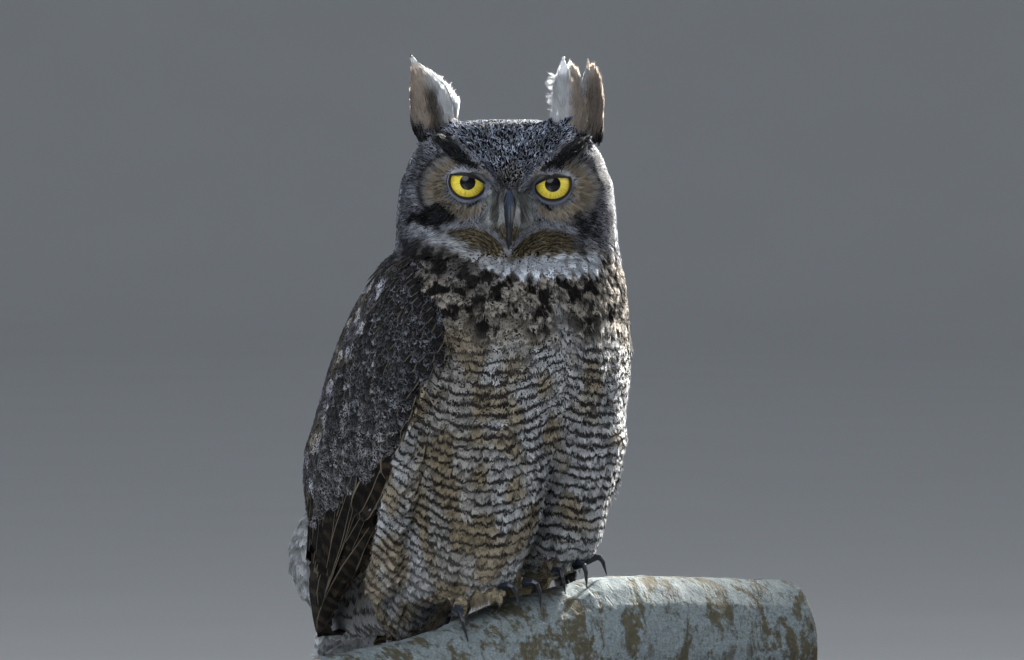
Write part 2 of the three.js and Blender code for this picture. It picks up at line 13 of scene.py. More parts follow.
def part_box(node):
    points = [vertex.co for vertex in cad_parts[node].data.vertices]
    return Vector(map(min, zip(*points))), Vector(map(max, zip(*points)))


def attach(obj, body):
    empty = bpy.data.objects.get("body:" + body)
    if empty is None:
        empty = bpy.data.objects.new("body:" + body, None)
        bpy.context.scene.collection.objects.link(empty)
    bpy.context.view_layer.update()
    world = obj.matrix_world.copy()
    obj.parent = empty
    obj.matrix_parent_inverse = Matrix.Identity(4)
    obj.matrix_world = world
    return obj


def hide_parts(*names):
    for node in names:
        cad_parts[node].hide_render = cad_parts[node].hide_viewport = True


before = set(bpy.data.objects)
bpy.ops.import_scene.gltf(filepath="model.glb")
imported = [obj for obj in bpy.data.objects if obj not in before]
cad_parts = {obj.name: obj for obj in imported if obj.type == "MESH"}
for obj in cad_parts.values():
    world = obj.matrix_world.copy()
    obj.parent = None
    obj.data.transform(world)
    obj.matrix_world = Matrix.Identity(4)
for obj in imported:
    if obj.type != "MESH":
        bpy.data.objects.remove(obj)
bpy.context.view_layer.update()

bl_info = {"name": "Great horned owl", "version": (1, 0, 0), "blender": (4, 5, 0),
    "location": "View3D > Sidebar > Owl",
    "description": "Dresses the owl's frame with skin, feathers, eyes, bill, claws, perch and stand",
    "category": "Object"}

# ---- places, in the owl's own millimetres

MM = 0.001
BASE_LOW, BASE_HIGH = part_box("stand_base")
# From the middle of the stand's underside to the owl's origin, on the perch between its feet.
ORIGIN = np.array(
    [(BASE_LOW[0] + BASE_HIGH[0]) / 2 - 0.012, (BASE_LOW[1] + BASE_HIGH[1]) / 2 - 0.058,
    BASE_LOW[2] + 0.208])
HEAD_CENTRE = np.array([0.0, 30.0, 325.0])
HEAD_TURN = math.radians(-36)
HEAD_ROLL = math.radians(1.3)
EYE_CENTRE = np.array([33.8, -45.5, 9.0])
EYE_RADIUS = 15.0
BILL_ROOT = np.array([0.0, -66.0, -2.0])
EAR_PATHS = {"ear_tuft_right": ((-61, -16, 38), (-66, -14, 76), (-82, -9, 109)),
    "ear_tuft_left": ((50, -17, 38), (52, -13, 76), (51, -9, 110))}
ANKLES = {"foot_right": (-44, 16, 16), "foot_left": (33, 22, 28)}
LIE_OF_WING = (0.0, 0.54, -0.84)
LIE_OF_TAIL = (0.0, 0.18, -0.98)

FLESH = ("head", "neck", "trunk", "ear_tuft_right", "ear_tuft_left", "wing_right_coverts",
    "wing_right_secondaries", "wing_right_primaries", "wing_left_coverts", "wing_left_secondaries",
    "wing_left_primaries", "mantle", "tail", "tail_coverts_under", "tail_coverts_upper", "leg_right",
    "leg_left", "foot_right", "foot_left")
# The line where the belly's feathers cover the wing's front edge, as (height, depth).
WING_FRONT = ((50, 88), (79, 74), (88, 62), (106, 50), (117, 38), (138, 31), (154, 25), (166, 17), (186, 7),
    (208, -8), (222, -14), (242, 4), (264, 28), (290, 46))
# The leg's edge and the wing's edge on either side of the hollow between them, rising, for the right side.
FLANK = (((-87, 68, 24), (-89, 55, 48), (-90, 46, 69), (-93, 33, 90), (-95, 23, 110), (-93, 18, 138)),
    ((-80, 86, 24), (-86, 82, 48), (-90, 69, 69), (-96, 50, 90), (-101, 37, 110), (-101, 24, 138)))
WING_KINDS = ("coverts", "secondaries", "primaries")
# The heights of the wing front's upper end and of the tail's root.
SHOULDER, TAIL_ROOT = 290, -64
# How far the bare skin lies under the coat's outside, for each part, in millimetres.
COAT_DEPTH = {"head": 5.0, "neck": 8.0, "trunk": 8.0, "ear": 2.5, "coverts": 4.0, "secondaries": 3.0,
    "primaries": 2.6, "mantle": 5.0, "tail": 1.5, "tail_coverts": 6.0, "leg": 7.0, "foot": 2.5}


def above_toes(points):
    """How far each point is above the line where the leg's feathers end and the toes' begin."""
    across = 0.81 * points[:, 0] - 0.59 * points[:, 1]
    return points[:, 2] - np.interp(across, (-110, -75, -50, -14, 10, 50), (-60, -16, 6, 18, 20, 24))


def family(node):
    """The key of COAT_DEPTH that a node of flesh belongs to."""
    if node.startswith("wing"):
        return node.split("_")[2]
    if node.startswith("tail_coverts"):
        return "tail_coverts"
    return node.split("_")[0]


def to_row(points):
    """Owl millimetres to metres in the row's frame."""
    return np.asarray(points) * MM + ORIGIN


def to_owl(points):
    """Metres in the row's frame to owl millimetres."""
    return (np.asarray(points) - ORIGIN) / MM


def turned(points, angle, a, b):
    """Points turned by an angle in the plane of axes a and b."""
    out = np.array(points, dtype=float)
    out[..., a] = points[..., a] * math.cos(angle) - points[..., b] * math.sin(angle)
    out[..., b] = points[..., a] * math.sin(angle) + points[..., b] * math.cos(angle)
    return out


def to_head(points):
    """Owl millimetres to the head's own axes, where the face looks along -Y."""
    return turned(turned(np.asarray(points) - HEAD_CENTRE, -HEAD_TURN, 0, 1), HEAD_ROLL, 0, 2)


def head_vector(vectors):
    """A direction in the head's own axes, as the owl's."""
    return turned(turned(np.asarray(vectors, dtype=float), -HEAD_ROLL, 0, 2), HEAD_TURN, 0, 1)


def from_head(points):
    """The head's own axes to owl millimetres."""
    return head_vector(points) + HEAD_CENTRE


# ---- small sums


def ramp(low, high, x):
    """0 before low, 1 after high, smooth between them. low may be the greater."""
    t = np.clip((np.asarray(x, dtype=float) - low) / (high - low), 0, 1)
    return t * t * (3 - 2 * t)


def unit(vectors):
    """Vectors of length one."""
    v = np.asarray(vectors, dtype=float)
    return v / np.maximum(np.linalg.norm(v, axis=-1, keepdims=True), 1e-9)


def wobble(points, size, seed):
    """Smooth noise from about -1 to 1, whose waves are about size millimetres long."""
    rng = np.random.default_rng(seed)
    total = np.zeros(len(points))
    for _ in range(7):
        wave = rng.normal(size=3)
        wave *= 2 * math.pi / size / np.linalg.norm(wave) * rng.uniform(0.6, 1.5)
        total += np.sin(points @ wave + rng.uniform(0, 2 * math.pi))
    return total / 3.2


def off_line(points, line):
    """Distance from each 2-D or 3-D point to a line through a few places."""
    best = np.full(len(points), 1e9)
    for start, end in zip(line[:-1], line[1:]):
        a = np.array(start, dtype=float)
        d = np.array(end, dtype=float) - a
        t = np.clip((points - a) @ d / (d @ d), 0, 1)
        best = np.minimum(best, np.linalg.norm(points - a - t[:, None] * d, axis=1))
    return best


def colour(red, green, blue):
    """A colour in 0 to 255 as the eye sees it, made linear."""
    c = np.array([red, green, blue]) / 255
    return np.where(c <= 0.04045, c / 12.92, ((c + 0.055) / 1.055) ** 2.4)


# ---- sizes and colours that a user may change


def length_setting(name, text, default):
    """A length in metres that a user may change."""
    return bpy.props.FloatProperty(name=name, description=text, default=default, unit="LENGTH")


def angle_setting(name, text, degrees):
    """An angle that a user may change."""
    return bpy.props.FloatProperty(name=name, description=text, default=math.radians(degrees),
        unit="ROTATION")


def plain_setting(name, text, default):
    """A plain number that a user may change."""
    return bpy.props.FloatProperty(name=name, description=text, default=default)


def shade_setting(name, text, red, green, blue):
    """A colour in 0 to 255 that a user may change."""
    return bpy.props.FloatVectorProperty(name=name, description=text, subtype="COLOR",
        default=tuple(colour(red, green, blue)))


class OwlFeathers(bpy.types.PropertyGroup):
    """Sizes of the coat."""

    breast_length: length_setting("Breast feather", "Length of a breast feather", 0.030)
    crown_length: length_setting("Crown feather", "Length of a feather on the crown", 0.013)
    bar_spacing: length_setting("Bar spacing", "Distance from one bar to the next below the breast", 0.0085)
    barb_spacing: length_setting("Barb spacing", "Distance between the fine ribs of a vane", 0.0011)
    fullness: bpy.props.FloatProperty(name="Fullness", default=1.0, min=0.1, max=1.2,
        description="How many feathers stand on each patch, 1 for a full coat")
    seed: bpy.props.IntProperty(name="Seed", description="Which of many like coats is made", default=7)


class OwlColours(bpy.types.PropertyGroup):
    """Colours of the coat and the eyes."""

    white: shade_setting("White", "Bib and pale ground", 198, 202, 207)
    grey: shade_setting("Grey", "Flecks on crown and wings", 134, 138, 148)
    buff: shade_setting("Buff", "Warm ground under the bars", 146, 131, 98)
    tawny: shade_setting("Tawny", "The disc round each eye", 110, 103, 92)
    brown: shade_setting("Brown", "Flight feathers", 78, 68, 55)
    ink: shade_setting("Ink", "Bars and blotches", 22, 20, 21)
    black: shade_setting("Black", "Brows, rims and ear bases", 9, 9, 12)
    iris: shade_setting("Iris", "Yellow of the eye", 222, 207, 82)


class OwlStage(bpy.types.PropertyGroup):
    """Lights, floor and camera."""

    distance: length_setting("Camera distance", "From the camera to the owl", 6.0)
    azimuth: angle_setting("Camera azimuth", "Turn of the camera round the owl", -36)
    elevation: angle_setting("Camera elevation", "Height of the camera over the level", 2)
    key: plain_setting("Soft light", "Power of the large front light", 60.0)
    sun: plain_setting("Rim light", "Power of the small light from behind", 3400.0)
    sky: plain_setting("Sky", "Strength of the light from all round", 0.36)


def feathers():
    """The scene's feather sizes."""
    return bpy.context.scene.owl_feathers


def tone(name):
    """One of the scene's colours, linear."""
    return np.array(getattr(bpy.context.scene.owl_colours, name))


def tones(names):
    """Several of the scene's colours."""
    return [tone(name) for name in names.split()]


# ---- node trees


class Nodes:
    """Adds nodes to a tree and joins them."""

    def __init__(self, tree):
        self.tree = tree

    def add(self, kind, inputs=None, **settings):
        """A node with its settings; each input is a value or another node's socket."""
        node = self.tree.nodes.new(kind)
        for name, value in settings.items():
            setattr(node, name, value)
        for name, value in (inputs or {}).items():
            if isinstance(value, bpy.types.NodeSocket):
                self.tree.links.new(value, node.inputs[name])
            elif value is not None:
                node.inputs[name].default_value = value
        return node

    def math(self, operation, *values, clamp=False):
        """The result of a sum on numbers or sockets."""
        kind = "ShaderNodeMath"
        return self.add(kind, dict(enumerate(values)), operation=operation, use_clamp=clamp).outputs[0]

    def times(self, a, b, clamp=False):
        """a times b."""
        return self.math("MULTIPLY", a, b, clamp=clamp)

    def fit(self, a, b, c):
        """a times b, and c added."""
        return self.math("MULTIPLY_ADD", a, b, c)

    def parts(self, vector):
        """The three numbers of a vector."""
        return self.add("ShaderNodeSeparateXYZ", {0: vector}).outputs

    def vector(self, operation, *values):
        """The result of a sum on vectors."""
        node = self.add("ShaderNodeVectorMath", dict(enumerate(values)), operation=operation)
        return node.outputs["Vector"]

    def scaled(self, vector, scale):
        """A vector times a number."""
        node = self.add("ShaderNodeVectorMath", {0: vector, "Scale": scale}, operation="SCALE")
        return node.outputs["Vector"]

    def mix(self, factor, a, b):
        """Colour a where factor is 0, b where it is 1; each is a socket or three numbers."""
        a, b = (c if isinstance(c, bpy.types.NodeSocket) else (*c, 1) for c in (a, b))
        return self.add("ShaderNodeMix", {0: factor, 6: a, 7: b}, data_type="RGBA").outputs[2]

    def step(self, value, low, high):
        """0 below low, 1 above high, smooth between."""
        node = self.add("ShaderNodeMapRange", {"Value": value, "From Min": low, "From Max": high},
            interpolation_type="SMOOTHSTEP")
        return node.outputs[0]

    def noise(self, scale, detail=2.0, vector=None, distortion=0.0, roughness=0.5):
        """Noise from about 0 to 1, with scale waves to the metre."""
        node = self.add("ShaderNodeTexNoise",
            {"Vector": vector or self.place(), "Scale": scale, "Detail": detail, "Distortion": distortion,
            "Roughness": roughness})
        return node.outputs["Fac"]

    def joined(self, x, y, z):
        """A vector of three numbers."""
        return self.add("ShaderNodeCombineXYZ", {0: x, 1: y, 2: z}).outputs[0]

    def place(self):
        """The point's own place on the piece."""
        if "Texture Coordinate" not in self.tree.nodes:
            self.tree.nodes.new("ShaderNodeTexCoord").name = "Texture Coordinate"
        return self.tree.nodes["Texture Coordinate"].outputs["Object"]

    def attribute(self, name, part="Vector"):
        """A named attribute that a material reads."""
        return self.add("ShaderNodeAttribute", attribute_name=name).outputs[part]

    def read(self, name, kind="FLOAT_VECTOR"):
        """A named attribute that a Geometry Nodes tree reads."""
        found = self.add("GeometryNodeInputNamedAttribute", {"Name": name}, data_type=kind)
        return found.outputs["Attribute"]


def material(name, **constants):
    """A material with its Nodes and its shader; constants are set on the shader's own sockets."""
    made = bpy.data.materials.new(name)
    made.use_nodes = True
    shader = made.node_tree.nodes["Principled BSDF"]
    for socket, value in constants.items():
        shader.inputs[socket.replace("_", " ")].default_value = value
    return made, Nodes(made.node_tree), shader


def join_up(nodes, shader, base, roughness, height, bump):
    """Links a colour, a roughness and a bump, in metres, to the shader."""
    link = nodes.tree.links.new
    link(base, shader.inputs["Base Color"])
    link(roughness, shader.inputs["Roughness"])
    relief = nodes.add("ShaderNodeBump", {"Height": height, "Strength": 1.0, "Distance": bump})
    link(relief.outputs[0], shader.inputs["Normal"])


def plumage_material(name, barb=1.0, gloss=0.06, grain=(0.30, 0.50), vary=0.35, rim=0.15, rim_from=0.75,
    core=0.10, streak=0.8, fall=0.3, thin=0.0, own=True):
    """Feathers and skin: ground and ink meet in bars, blotches and fine threads, over ribbed vanes.

    The sides of every vane are worn and pale, the more so where its bars are broad.
    grain is how many waves of the threads' noise there are to the millimetre across and along a feather,
    core is how strongly its middle darkens, streak is how much its barbs differ, and fall is painted shade:
    how much darker a feather is made towards its root, where the next one lies over it. thin is how much
    light comes through it, and own is whether it has noise of its own or shares the body's."""
    made, n, shader = material(name, Sheen_Weight=0.02, Specular_IOR_Level=gloss)
    tint = n.attribute("tint", "Color")
    ink = n.attribute("ink", "Color")
    mark = n.parts(n.attribute("mark"))
    band = n.parts(n.attribute("band"))
    lie = n.parts(n.attribute("lie"))
    seed = band[2]
    across = n.math("ABSOLUTE", lie[0])
    if own:
        length = n.times(lie[2], feathers().barb_spacing / MM / (2 * math.pi))
        wide = n.times(n.times(lie[0], length), 0.24)
        long = n.times(lie[1], length)
        spot = n.joined(n.times(wide, grain[0]), n.times(long, grain[1]), n.times(seed, 90))
        strand = n.joined(n.times(wide, 1.5), n.times(long, 0.10), n.times(seed, 60))
    else:
        spot = n.scaled(n.place(), 400)
        strand = n.scaled(n.place(), 500)

    slow = n.math("SUBTRACT", n.noise(70, 2), 0.5)
    hair = n.math("SUBTRACT", n.noise(1.0, 2, vector=strand), 0.5)
    line = n.fit(slow, 1.1, band[0])
    line = n.fit(hair, 0.65, line)
    line = n.fit(n.math("SUBTRACT", seed, 0.5), 0.36, line)
    line = n.fit(n.times(across, across), -0.28, line)
    wave = n.math("ABSOLUTE", n.fit(n.math("FRACT", line), 2.0, -1.0))
    duty = n.fit(slow, 0.5, band[1])
    bars = n.step(n.math("SUBTRACT", duty, wave), -0.12, 0.12)
    bars = n.times(bars, mark[0])

    tip = n.math("ABSOLUTE", n.fit(lie[1], 2.4, -1.6))
    heart = n.math("SUBTRACT", 1.0, n.math("MAXIMUM", across, tip))
    cloud = n.fit(heart, core, n.noise(78, 1.5))
    blotch = n.step(n.fit(hair, 0.18, cloud), 0.49, 0.58)
    blotch = n.times(blotch, mark[1])

    thread = n.math("ABSOLUTE", n.math("SUBTRACT", n.noise(1.0, 1.5, vector=spot, distortion=0.6), 0.5))
    bare = n.fit(n.fit(seed, 0.16, mark[2]), -0.150, 0.172)
    mottle = n.step(n.math("SUBTRACT", thread, bare), 0.0, 0.03)
    mottle = n.times(mottle, n.times(mark[2], 3.0, clamp=True))

    shade = n.math("MAXIMUM", n.math("MAXIMUM", bars, blotch), mottle)
    base = n.mix(shade, tint, ink)
    ribs = n.fit(across, -0.55, lie[1])
    ribs = n.math("SINE", n.times(ribs, lie[2]))
    rachis = n.step(across, 0.09, 0.02)
    lift = n.fit(ribs, 0.07 * barb, 1.0)
    lift = n.fit(n.step(n.math("MAXIMUM", across, lie[1]), rim_from, 1.0), rim, lift)
    lift = n.fit(n.math("SUBTRACT", seed, 0.5), vary, lift)
    lift = n.math("MAXIMUM", n.fit(hair, streak, lift), 0.15)
    if own:
        # Painted shade: each feather is made darker towards its root, where the next one lies over it, and
        # lighter at its tip.
        lift = n.times(lift, n.fit(n.step(lie[1], 0.62, 0.95), fall, 1.0 - 0.7 * fall))
    base = n.scaled(base, lift)
    worn = n.times(n.step(n.fit(hair, 0.10, across), 0.80, 0.93), duty)
    base = n.mix(worn, base, colour(164, 156, 138))
    height = n.fit(ribs, 0.5, n.fit(rachis, 0.8, hair))
    roughness = n.fit(hair, 0.3, 0.75)
    join_up(n, shader, base, roughness, height, 0.00025 * barb)
    if thin:
        through = n.add("ShaderNodeBsdfTranslucent", {"Color": base})
        both = n.add("ShaderNodeMixShader", {0: thin, 1: shader.outputs[0], 2: through.outputs[0]})
        n.tree.links.new(both.outputs[0], n.tree.nodes["Material Output"].inputs["Surface"])
    return made


def horn_material(name, dark, light, rough=0.24):
    """Polished horn: growth lines, a painted highlight on the faces that look up, and small scratches."""
    made, n, shader = material(name, Coat_Weight=0.25, Coat_Roughness=0.2, Specular_IOR_Level=0.3)
    up = n.parts(n.add("ShaderNodeNewGeometry").outputs["Normal"])
    grain = n.noise(900, 3, distortion=0.4)
    cloud = n.noise(160, 2)
    # Painted highlight: faces that look up are made paler, as if lit from above.
    pale = n.times(n.step(up[2], 0.0, 0.8), n.fit(cloud, 0.8, 0.2))
    base = n.mix(pale, dark, light)
    base = n.mix(n.times(n.step(grain, 0.5, 0.75), 0.3), base, light)
    roughness = n.fit(grain, 0.25, rough)
    join_up(n, shader, base, roughness, grain, 0.00012)
    return made


def eye_material():
    """A wet eye: black pupil, lemon iris with fine rays, dark rim, and painted shade on the iris's upper
    part, under the lid.
    """
    made, n, shader = material("owl_eye", Coat_Weight=0.35, Coat_Roughness=0.02, Specular_IOR_Level=0.10)
    gaze = n.parts(n.attribute("gaze"))
    radius, height = gaze[0], gaze[1]
    rays = n.add("ShaderNodeTexNoise", {"Scale": 1.0, "Detail": 3.0, "Vector": n.attribute("rays")})
    rays = rays.outputs["Fac"]
    wavy = n.fit(rays, 0.02, radius)
    iris = tuple(tone("iris"))
    deep = tuple(tone("iris") * np.array([0.74, 0.60, 0.30]))
    base = n.mix(n.step(rays, 0.40, 0.75), iris, deep)
    base = n.mix(n.step(wavy, 0.70, 0.92), base, deep)
    # Painted shade: the upper part of the iris is darkened, as if in the lid's shadow.
    base = n.scaled(base, n.fit(n.step(height, 0.12, 0.40), -0.5, 1.0))
    base = n.mix(n.step(wavy, 0.435, 0.405), base, (0.002, 0.002, 0.003))
    base = n.mix(n.step(wavy, 0.90, 0.94), base, (0.004, 0.004, 0.004))
    roughness = n.fit(rays, 0.1, 0.25)
    join_up(n, shader, base, roughness, rays, 0.00003)
    return made


def bark_material():
    """Smooth bark: pale grey lichen over olive brown, with fine cracks and lenticel lines."""
    made, n, shader = material("owl_bark", Specular_IOR_Level=0.25)
    run = n.attribute("run")
    stretched = n.vector("MULTIPLY", run, (1.0, 0.35, 1.0))
    girth = n.vector("MULTIPLY", run, (1.7, 0.75, 0.75))
    cloud = n.noise(30, 4, vector=girth, distortion=0.7, roughness=0.66)
    fine = n.noise(240, 4, vector=stretched, roughness=0.65)
    patch = n.step(n.fit(fine, 0.35, cloud), 0.58, 0.70)
    speck = n.step(n.noise(620, 2, vector=run), 0.40, 0.62)
    rings = n.noise(130, 3, vector=n.vector("MULTIPLY", run, (1.6, 0.14, 1.0)), distortion=0.8)
    crack = n.step(rings, 0.60, 0.68)
    dark = n.mix(fine, colour(46, 43, 34), colour(92, 90, 74))
    pale = n.mix(fine, colour(78, 88, 92), colour(140, 153, 160))
    pale = n.mix(n.times(speck, 0.55), pale, colour(84, 92, 90))
    base = n.mix(patch, dark, pale)
    base = n.mix(n.times(crack, 0.45), base, colour(58, 54, 44))
    base = n.mix(n.times(n.step(n.noise(48, 3, vector=girth), 0.60, 0.72), 0.6), base, colour(60, 50, 36))
    end = n.attribute("cut", "Fac")
    grown = n.add("ShaderNodeTexWave",
        {"Scale": 62.0, "Distortion": 2.0, "Detail": 2.0, "Vector": n.attribute("rings")},
        wave_type="RINGS", rings_direction="SPHERICAL").outputs["Fac"]
    wood = n.mix(grown, colour(150, 118, 78), colour(206, 178, 132))
    base = n.mix(end, base, wood)
    roughness = n.fit(fine, 0.25, 0.68)
    height = n.fit(patch, 0.35, n.fit(crack, -0.6, fine))
    join_up(n, shader, base, roughness, height, 0.0009)
    return made


def wood_material():
    """Oiled walnut for the stand."""
    made, n, shader = material("owl_stand_wood", Coat_Weight=0.25, Coat_Roughness=0.3)
    long = n.vector("MULTIPLY", n.place(), (0.12, 1.0, 1.0))
    grain = n.noise(90, 6, vector=long, distortion=1.2, roughness=0.6)
    pore = n.noise(1400, 2, vector=n.vector("MULTIPLY", n.place(), (0.05, 1.0, 1.0)))
    base = n.mix(n.step(grain, 0.35, 0.68), colour(70, 46, 30), colour(124, 88, 58))
    base = n.mix(n.times(n.step(pore, 0.60, 0.7), 0.5), base, colour(40, 26, 18))
    join_up(n, shader, base, n.fit(grain, 0.2, 0.38), pore, 0.0002)
    return made


def steel_material():
    """Brushed steel for the stand's rods."""
    made, n, shader = material("owl_stand_steel", Metallic=1.0)
    brush = n.noise(900, 3, vector=n.vector("MULTIPLY", n.place(), (1.0, 1.0, 0.03)))
    base = n.mix(brush, colour(120, 122, 126), colour(172, 174, 178))
    join_up(n, shader, base, n.fit(brush, 0.22, 0.25), brush, 0.00008)
    return made


def lid_material():
    """Bare lid skin, wrinkled, black at the rim."""
    made, n, shader = material("owl_lid", Specular_IOR_Level=0.3, Sheen_Weight=0.15)
    tint = n.attribute("tint", "Color")
    fold = n.noise(700, 3, distortion=0.8)
    base = n.scaled(tint, n.fit(fold, 0.6, 0.7))
    join_up(n, shader, base, n.fit(fold, 0.3, 0.45), fold, 0.0003)
    return made


# ---- mesh helpers


def new_object(name, mesh, shown=True):
    """An object for a mesh, in the scene where it is shown."""
    made = bpy.data.objects.new(name, mesh)
    if shown:
        bpy.context.scene.collection.objects.link(made)
    return made


def finish(piece, made, slot, *nodes):
    """Gives a piece its material, its body and the nodes that it stands for; slot is not used."""
    piece.data.materials.clear()
    piece.data.materials.append(made)
    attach(piece, "root")
    if nodes:
        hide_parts(*nodes)
    return piece


def vertices_of(mesh):
    """A mesh's vertices in owl millimetres."""
    flat = np.empty(len(mesh.vertices) * 3)
    mesh.vertices.foreach_get("co", flat)
    return to_owl(flat.reshape(-1, 3))


def put_vertices(mesh, points):
    """Sets a mesh's vertices from owl millimetres."""
    mesh.vertices.foreach_set("co", to_row(points).ravel())
    mesh.update()


def normals_of(mesh):
    """A mesh's vertex normals."""
    flat = np.empty(len(mesh.vertices) * 3)
    mesh.vertex_normals.foreach_get("vector", flat)
    return flat.reshape(-1, 3)


def put(mesh, name, values):
    """Stores a whole number, a number, a vector or a colour for each vertex."""
    values = np.asarray(values)
    whole = values.dtype.kind == "i"
    width = values.shape[1] if values.ndim > 1 else 1
    kind, field = {1: ("INT" if whole else "FLOAT", "value"), 3: ("FLOAT_VECTOR", "vector"),
        4: ("FLOAT_COLOR", "color")}[width]
    layer = mesh.attributes.new(name, kind, "POINT")
    layer.data.foreach_set(field, values.astype(np.int32 if whole else np.float32).ravel())


def get(mesh, name, width):
    """Reads an attribute of one number or a vector from the vertices."""
    flat = np.empty(len(mesh.vertices) * width, dtype=np.float32)
    mesh.attributes[name].data.foreach_get("vector" if width > 1 else "value", flat)
    return flat.reshape(-1, width) if width > 1 else flat


def evaluated(made):
    """The plain mesh that an object's modifiers give."""
    graph = bpy.context.evaluated_depsgraph_get()
    graph.update()
    return bpy.data.meshes.new_from_object(made.evaluated_get(graph), preserve_all_data_layers=True,
        depsgraph=graph)


def neighbours(values, mesh):
    """For each vertex, the mean of its neighbours' values."""
    edges = np.empty(len(mesh.edges) * 2, dtype=np.int32)
    mesh.edges.foreach_get("vertices", edges)
    a, b = edges.reshape(-1, 2).T
    size = len(values)
    count = np.maximum(np.bincount(a, minlength=size) + np.bincount(b, minlength=size), 1)
    sums = [np.bincount(a, column[b], size) + np.bincount(b, column[a], size) for column in values.T]
    return np.stack(sums, axis=1) / count[:, None]


def relaxed(values, mesh, rounds):
    """Values evened out along the mesh's edges without shrinking it."""
    for turn in range(rounds * 2):
        values = values + (neighbours(values, mesh) - values) * (0.52 if turn % 2 == 0 else -0.54)
    return values


def merged_copy(nodes, push):
    """One mesh of copies of CAD nodes with their points merged, pushed outwards by millimetres."""
    whole = bmesh.new()
    for name in nodes:
        part = bmesh.new()
        part.from_mesh(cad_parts[name].data)
        bmesh.ops.remove_doubles(part, verts=part.verts, dist=1e-6)
        part.normal_update()
        for vertex in part.verts:
            vertex.co += vertex.normal * push * MM
        mesh = bpy.data.meshes.new("part")
        part.to_mesh(mesh)
        part.free()
        whole.from_mesh(mesh)
        bpy.data.meshes.remove(mesh)
    mesh = bpy.data.meshes.new("whole")
    whole.to_mesh(mesh)
    whole.free()
    return mesh


def outer_only(mesh):
    """Drops the shells that lie inside the largest one."""
    work = bmesh.new()
    work.from_mesh(mesh)
    work.verts.ensure_lookup_table()
    seen = np.zeros(len(work.verts), dtype=bool)
    shells = []
    for first in work.verts:
        if seen[first.index]:
            continue
        seen[first.index] = True
        shell, queue = [first], [first]
        while queue:
            for edge in queue.pop().link_edges:
                for vertex in edge.verts:
                    if not seen[vertex.index]:
                        seen[vertex.index] = True
                        shell.append(vertex)
                        queue.append(vertex)
        shells.append(shell)
    shells.sort(key=len)
    bmesh.ops.delete(work, geom=[v for shell in shells[:-1] for v in shell], context="VERTS")
    bmesh.ops.triangulate(work, faces=work.faces)
    work.to_mesh(mesh)
    work.free()
    return mesh


def remeshed(nodes, voxel, push, rounds):
    """A smooth closed copy of CAD nodes, in millimetres: pushed out, remeshed, evened and pulled back."""
    source = new_object("remesh", merged_copy(nodes, push))
    modifier = source.modifiers.new("voxels", "REMESH")
    modifier.mode = "VOXEL"
    modifier.voxel_size = voxel * MM
    modifier.use_smooth_shade = True
    mesh = evaluated(source)
    bpy.data.objects.remove(source)
    outer_only(mesh)
    points = relaxed(vertices_of(mesh), mesh, rounds)
    put_vertices(mesh, points)
    put_vertices(mesh, points - normals_of(mesh) * push)
    mesh.shade_smooth()
    return mesh


# ---- markings, the same for skin and coat


class Marks:
    """Ground, ink and pattern at each point: what the plumage material reads."""

    def __init__(self, count):
        self.tint = np.tile(tone("grey"), (count, 1))
        self.ink = np.tile(tone("ink"), (count, 1))
        self.mark = np.zeros((count, 3))
        self.line = np.zeros(count)
        self.duty = np.full(count, 0.34)

    def lay(self, mask, tint=None, ink=None, bars=None, blotch=None, mottle=None):
        """Lays colours and pattern strengths over what is there, by a mask or a share from 0 to 1."""
        m = np.clip(mask, 0, 1) * np.ones(len(self.line))
        for values, new in ((self.tint, tint), (self.ink, ink)):
            if new is not None:
                values += (np.asarray(new) - values) * m[:, None]
        for column, new in enumerate((bars, blotch, mottle)):
            if new is not None:
                self.mark[:, column] += (new - self.mark[:, column]) * m


def body_marks(p):
    """Head, neck, breast, belly and legs."""
    m = Marks(len(p))
    white, grey, buff, ink = tones("white grey buff ink")
    x, y, z = p.T
    warm = ramp(0.0, 0.9, wobble(p, 40, 11) + 0.5 * ramp(-10, -60, x) - 0.3 * ramp(10, 50, x))
    pale = white * 0.72
    m.tint[:] = pale + (buff * 0.85 - pale) * (warm * 0.75)[:, None]
    m.ink[:] = ink * 1.6
    ragged = z + 15 * wobble(p, 26, 12)
    low = ramp(238, 185, ragged)
    m.lay(1.0, mottle=0.18)
    m.lay(1 - low, tint=grey * 0.65 + buff * 0.55, ink=ink, blotch=1.0, mottle=0.34)
    m.mark[:, 0] = 0.35 + low * (0.40 + 0.20 * ramp(20, 60, z))
    m.lay(ramp(120, 170, ragged) * low, mottle=0.36)
    across = np.where(x < -6, 0.81 * x - 0.59 * y + 38, x - 34)
    m.line = (z - 0.0052 * across**2) / (feathers().bar_spacing / MM)
    m.duty = 0.36 + 0.10 * wobble(p, 30, 5)
    middle = ramp(7, 2, np.abs(x + 5 + 0.06 * (z - 200) + 2 * wobble(p, 20, 4))) * ramp(120, 150,
        z) * ramp(250, 235, z)
    m.lay(middle * ramp(20, -20, y) * 0.7, tint=white * 0.75, blotch=0.15, mottle=0.35)
    back = ramp(40, 90, y - 0.35 * (240 - z)) * ramp(150, 200, z)
    m.lay(back, tint=grey * 0.7, blotch=0.6, bars=0, mottle=0.7)
    # Painted shade: the front of the owl's right side, towards the wing's edge, is made a darker buff, as
    # shadow under that edge.
    m.lay(ramp(-60, -84, x) * ramp(40, 0, y) * low * 0.45, tint=buff * 0.45)
    head_marks(m, p)
    return m


def eye_reach(h):
    """How far from the eye's middle a point of the face is, 1 on the edge of the open lids."""
    x, z = np.abs(h[:, 0]) - EYE_CENTRE[0], h[:, 2] - EYE_CENTRE[2]
    round_part = np.hypot(x / 14.2, z / np.where(z > 0, 14.2, 12.4))
    return np.maximum(round_part, 1 + (z - lid_top(-x)) / 13.0)


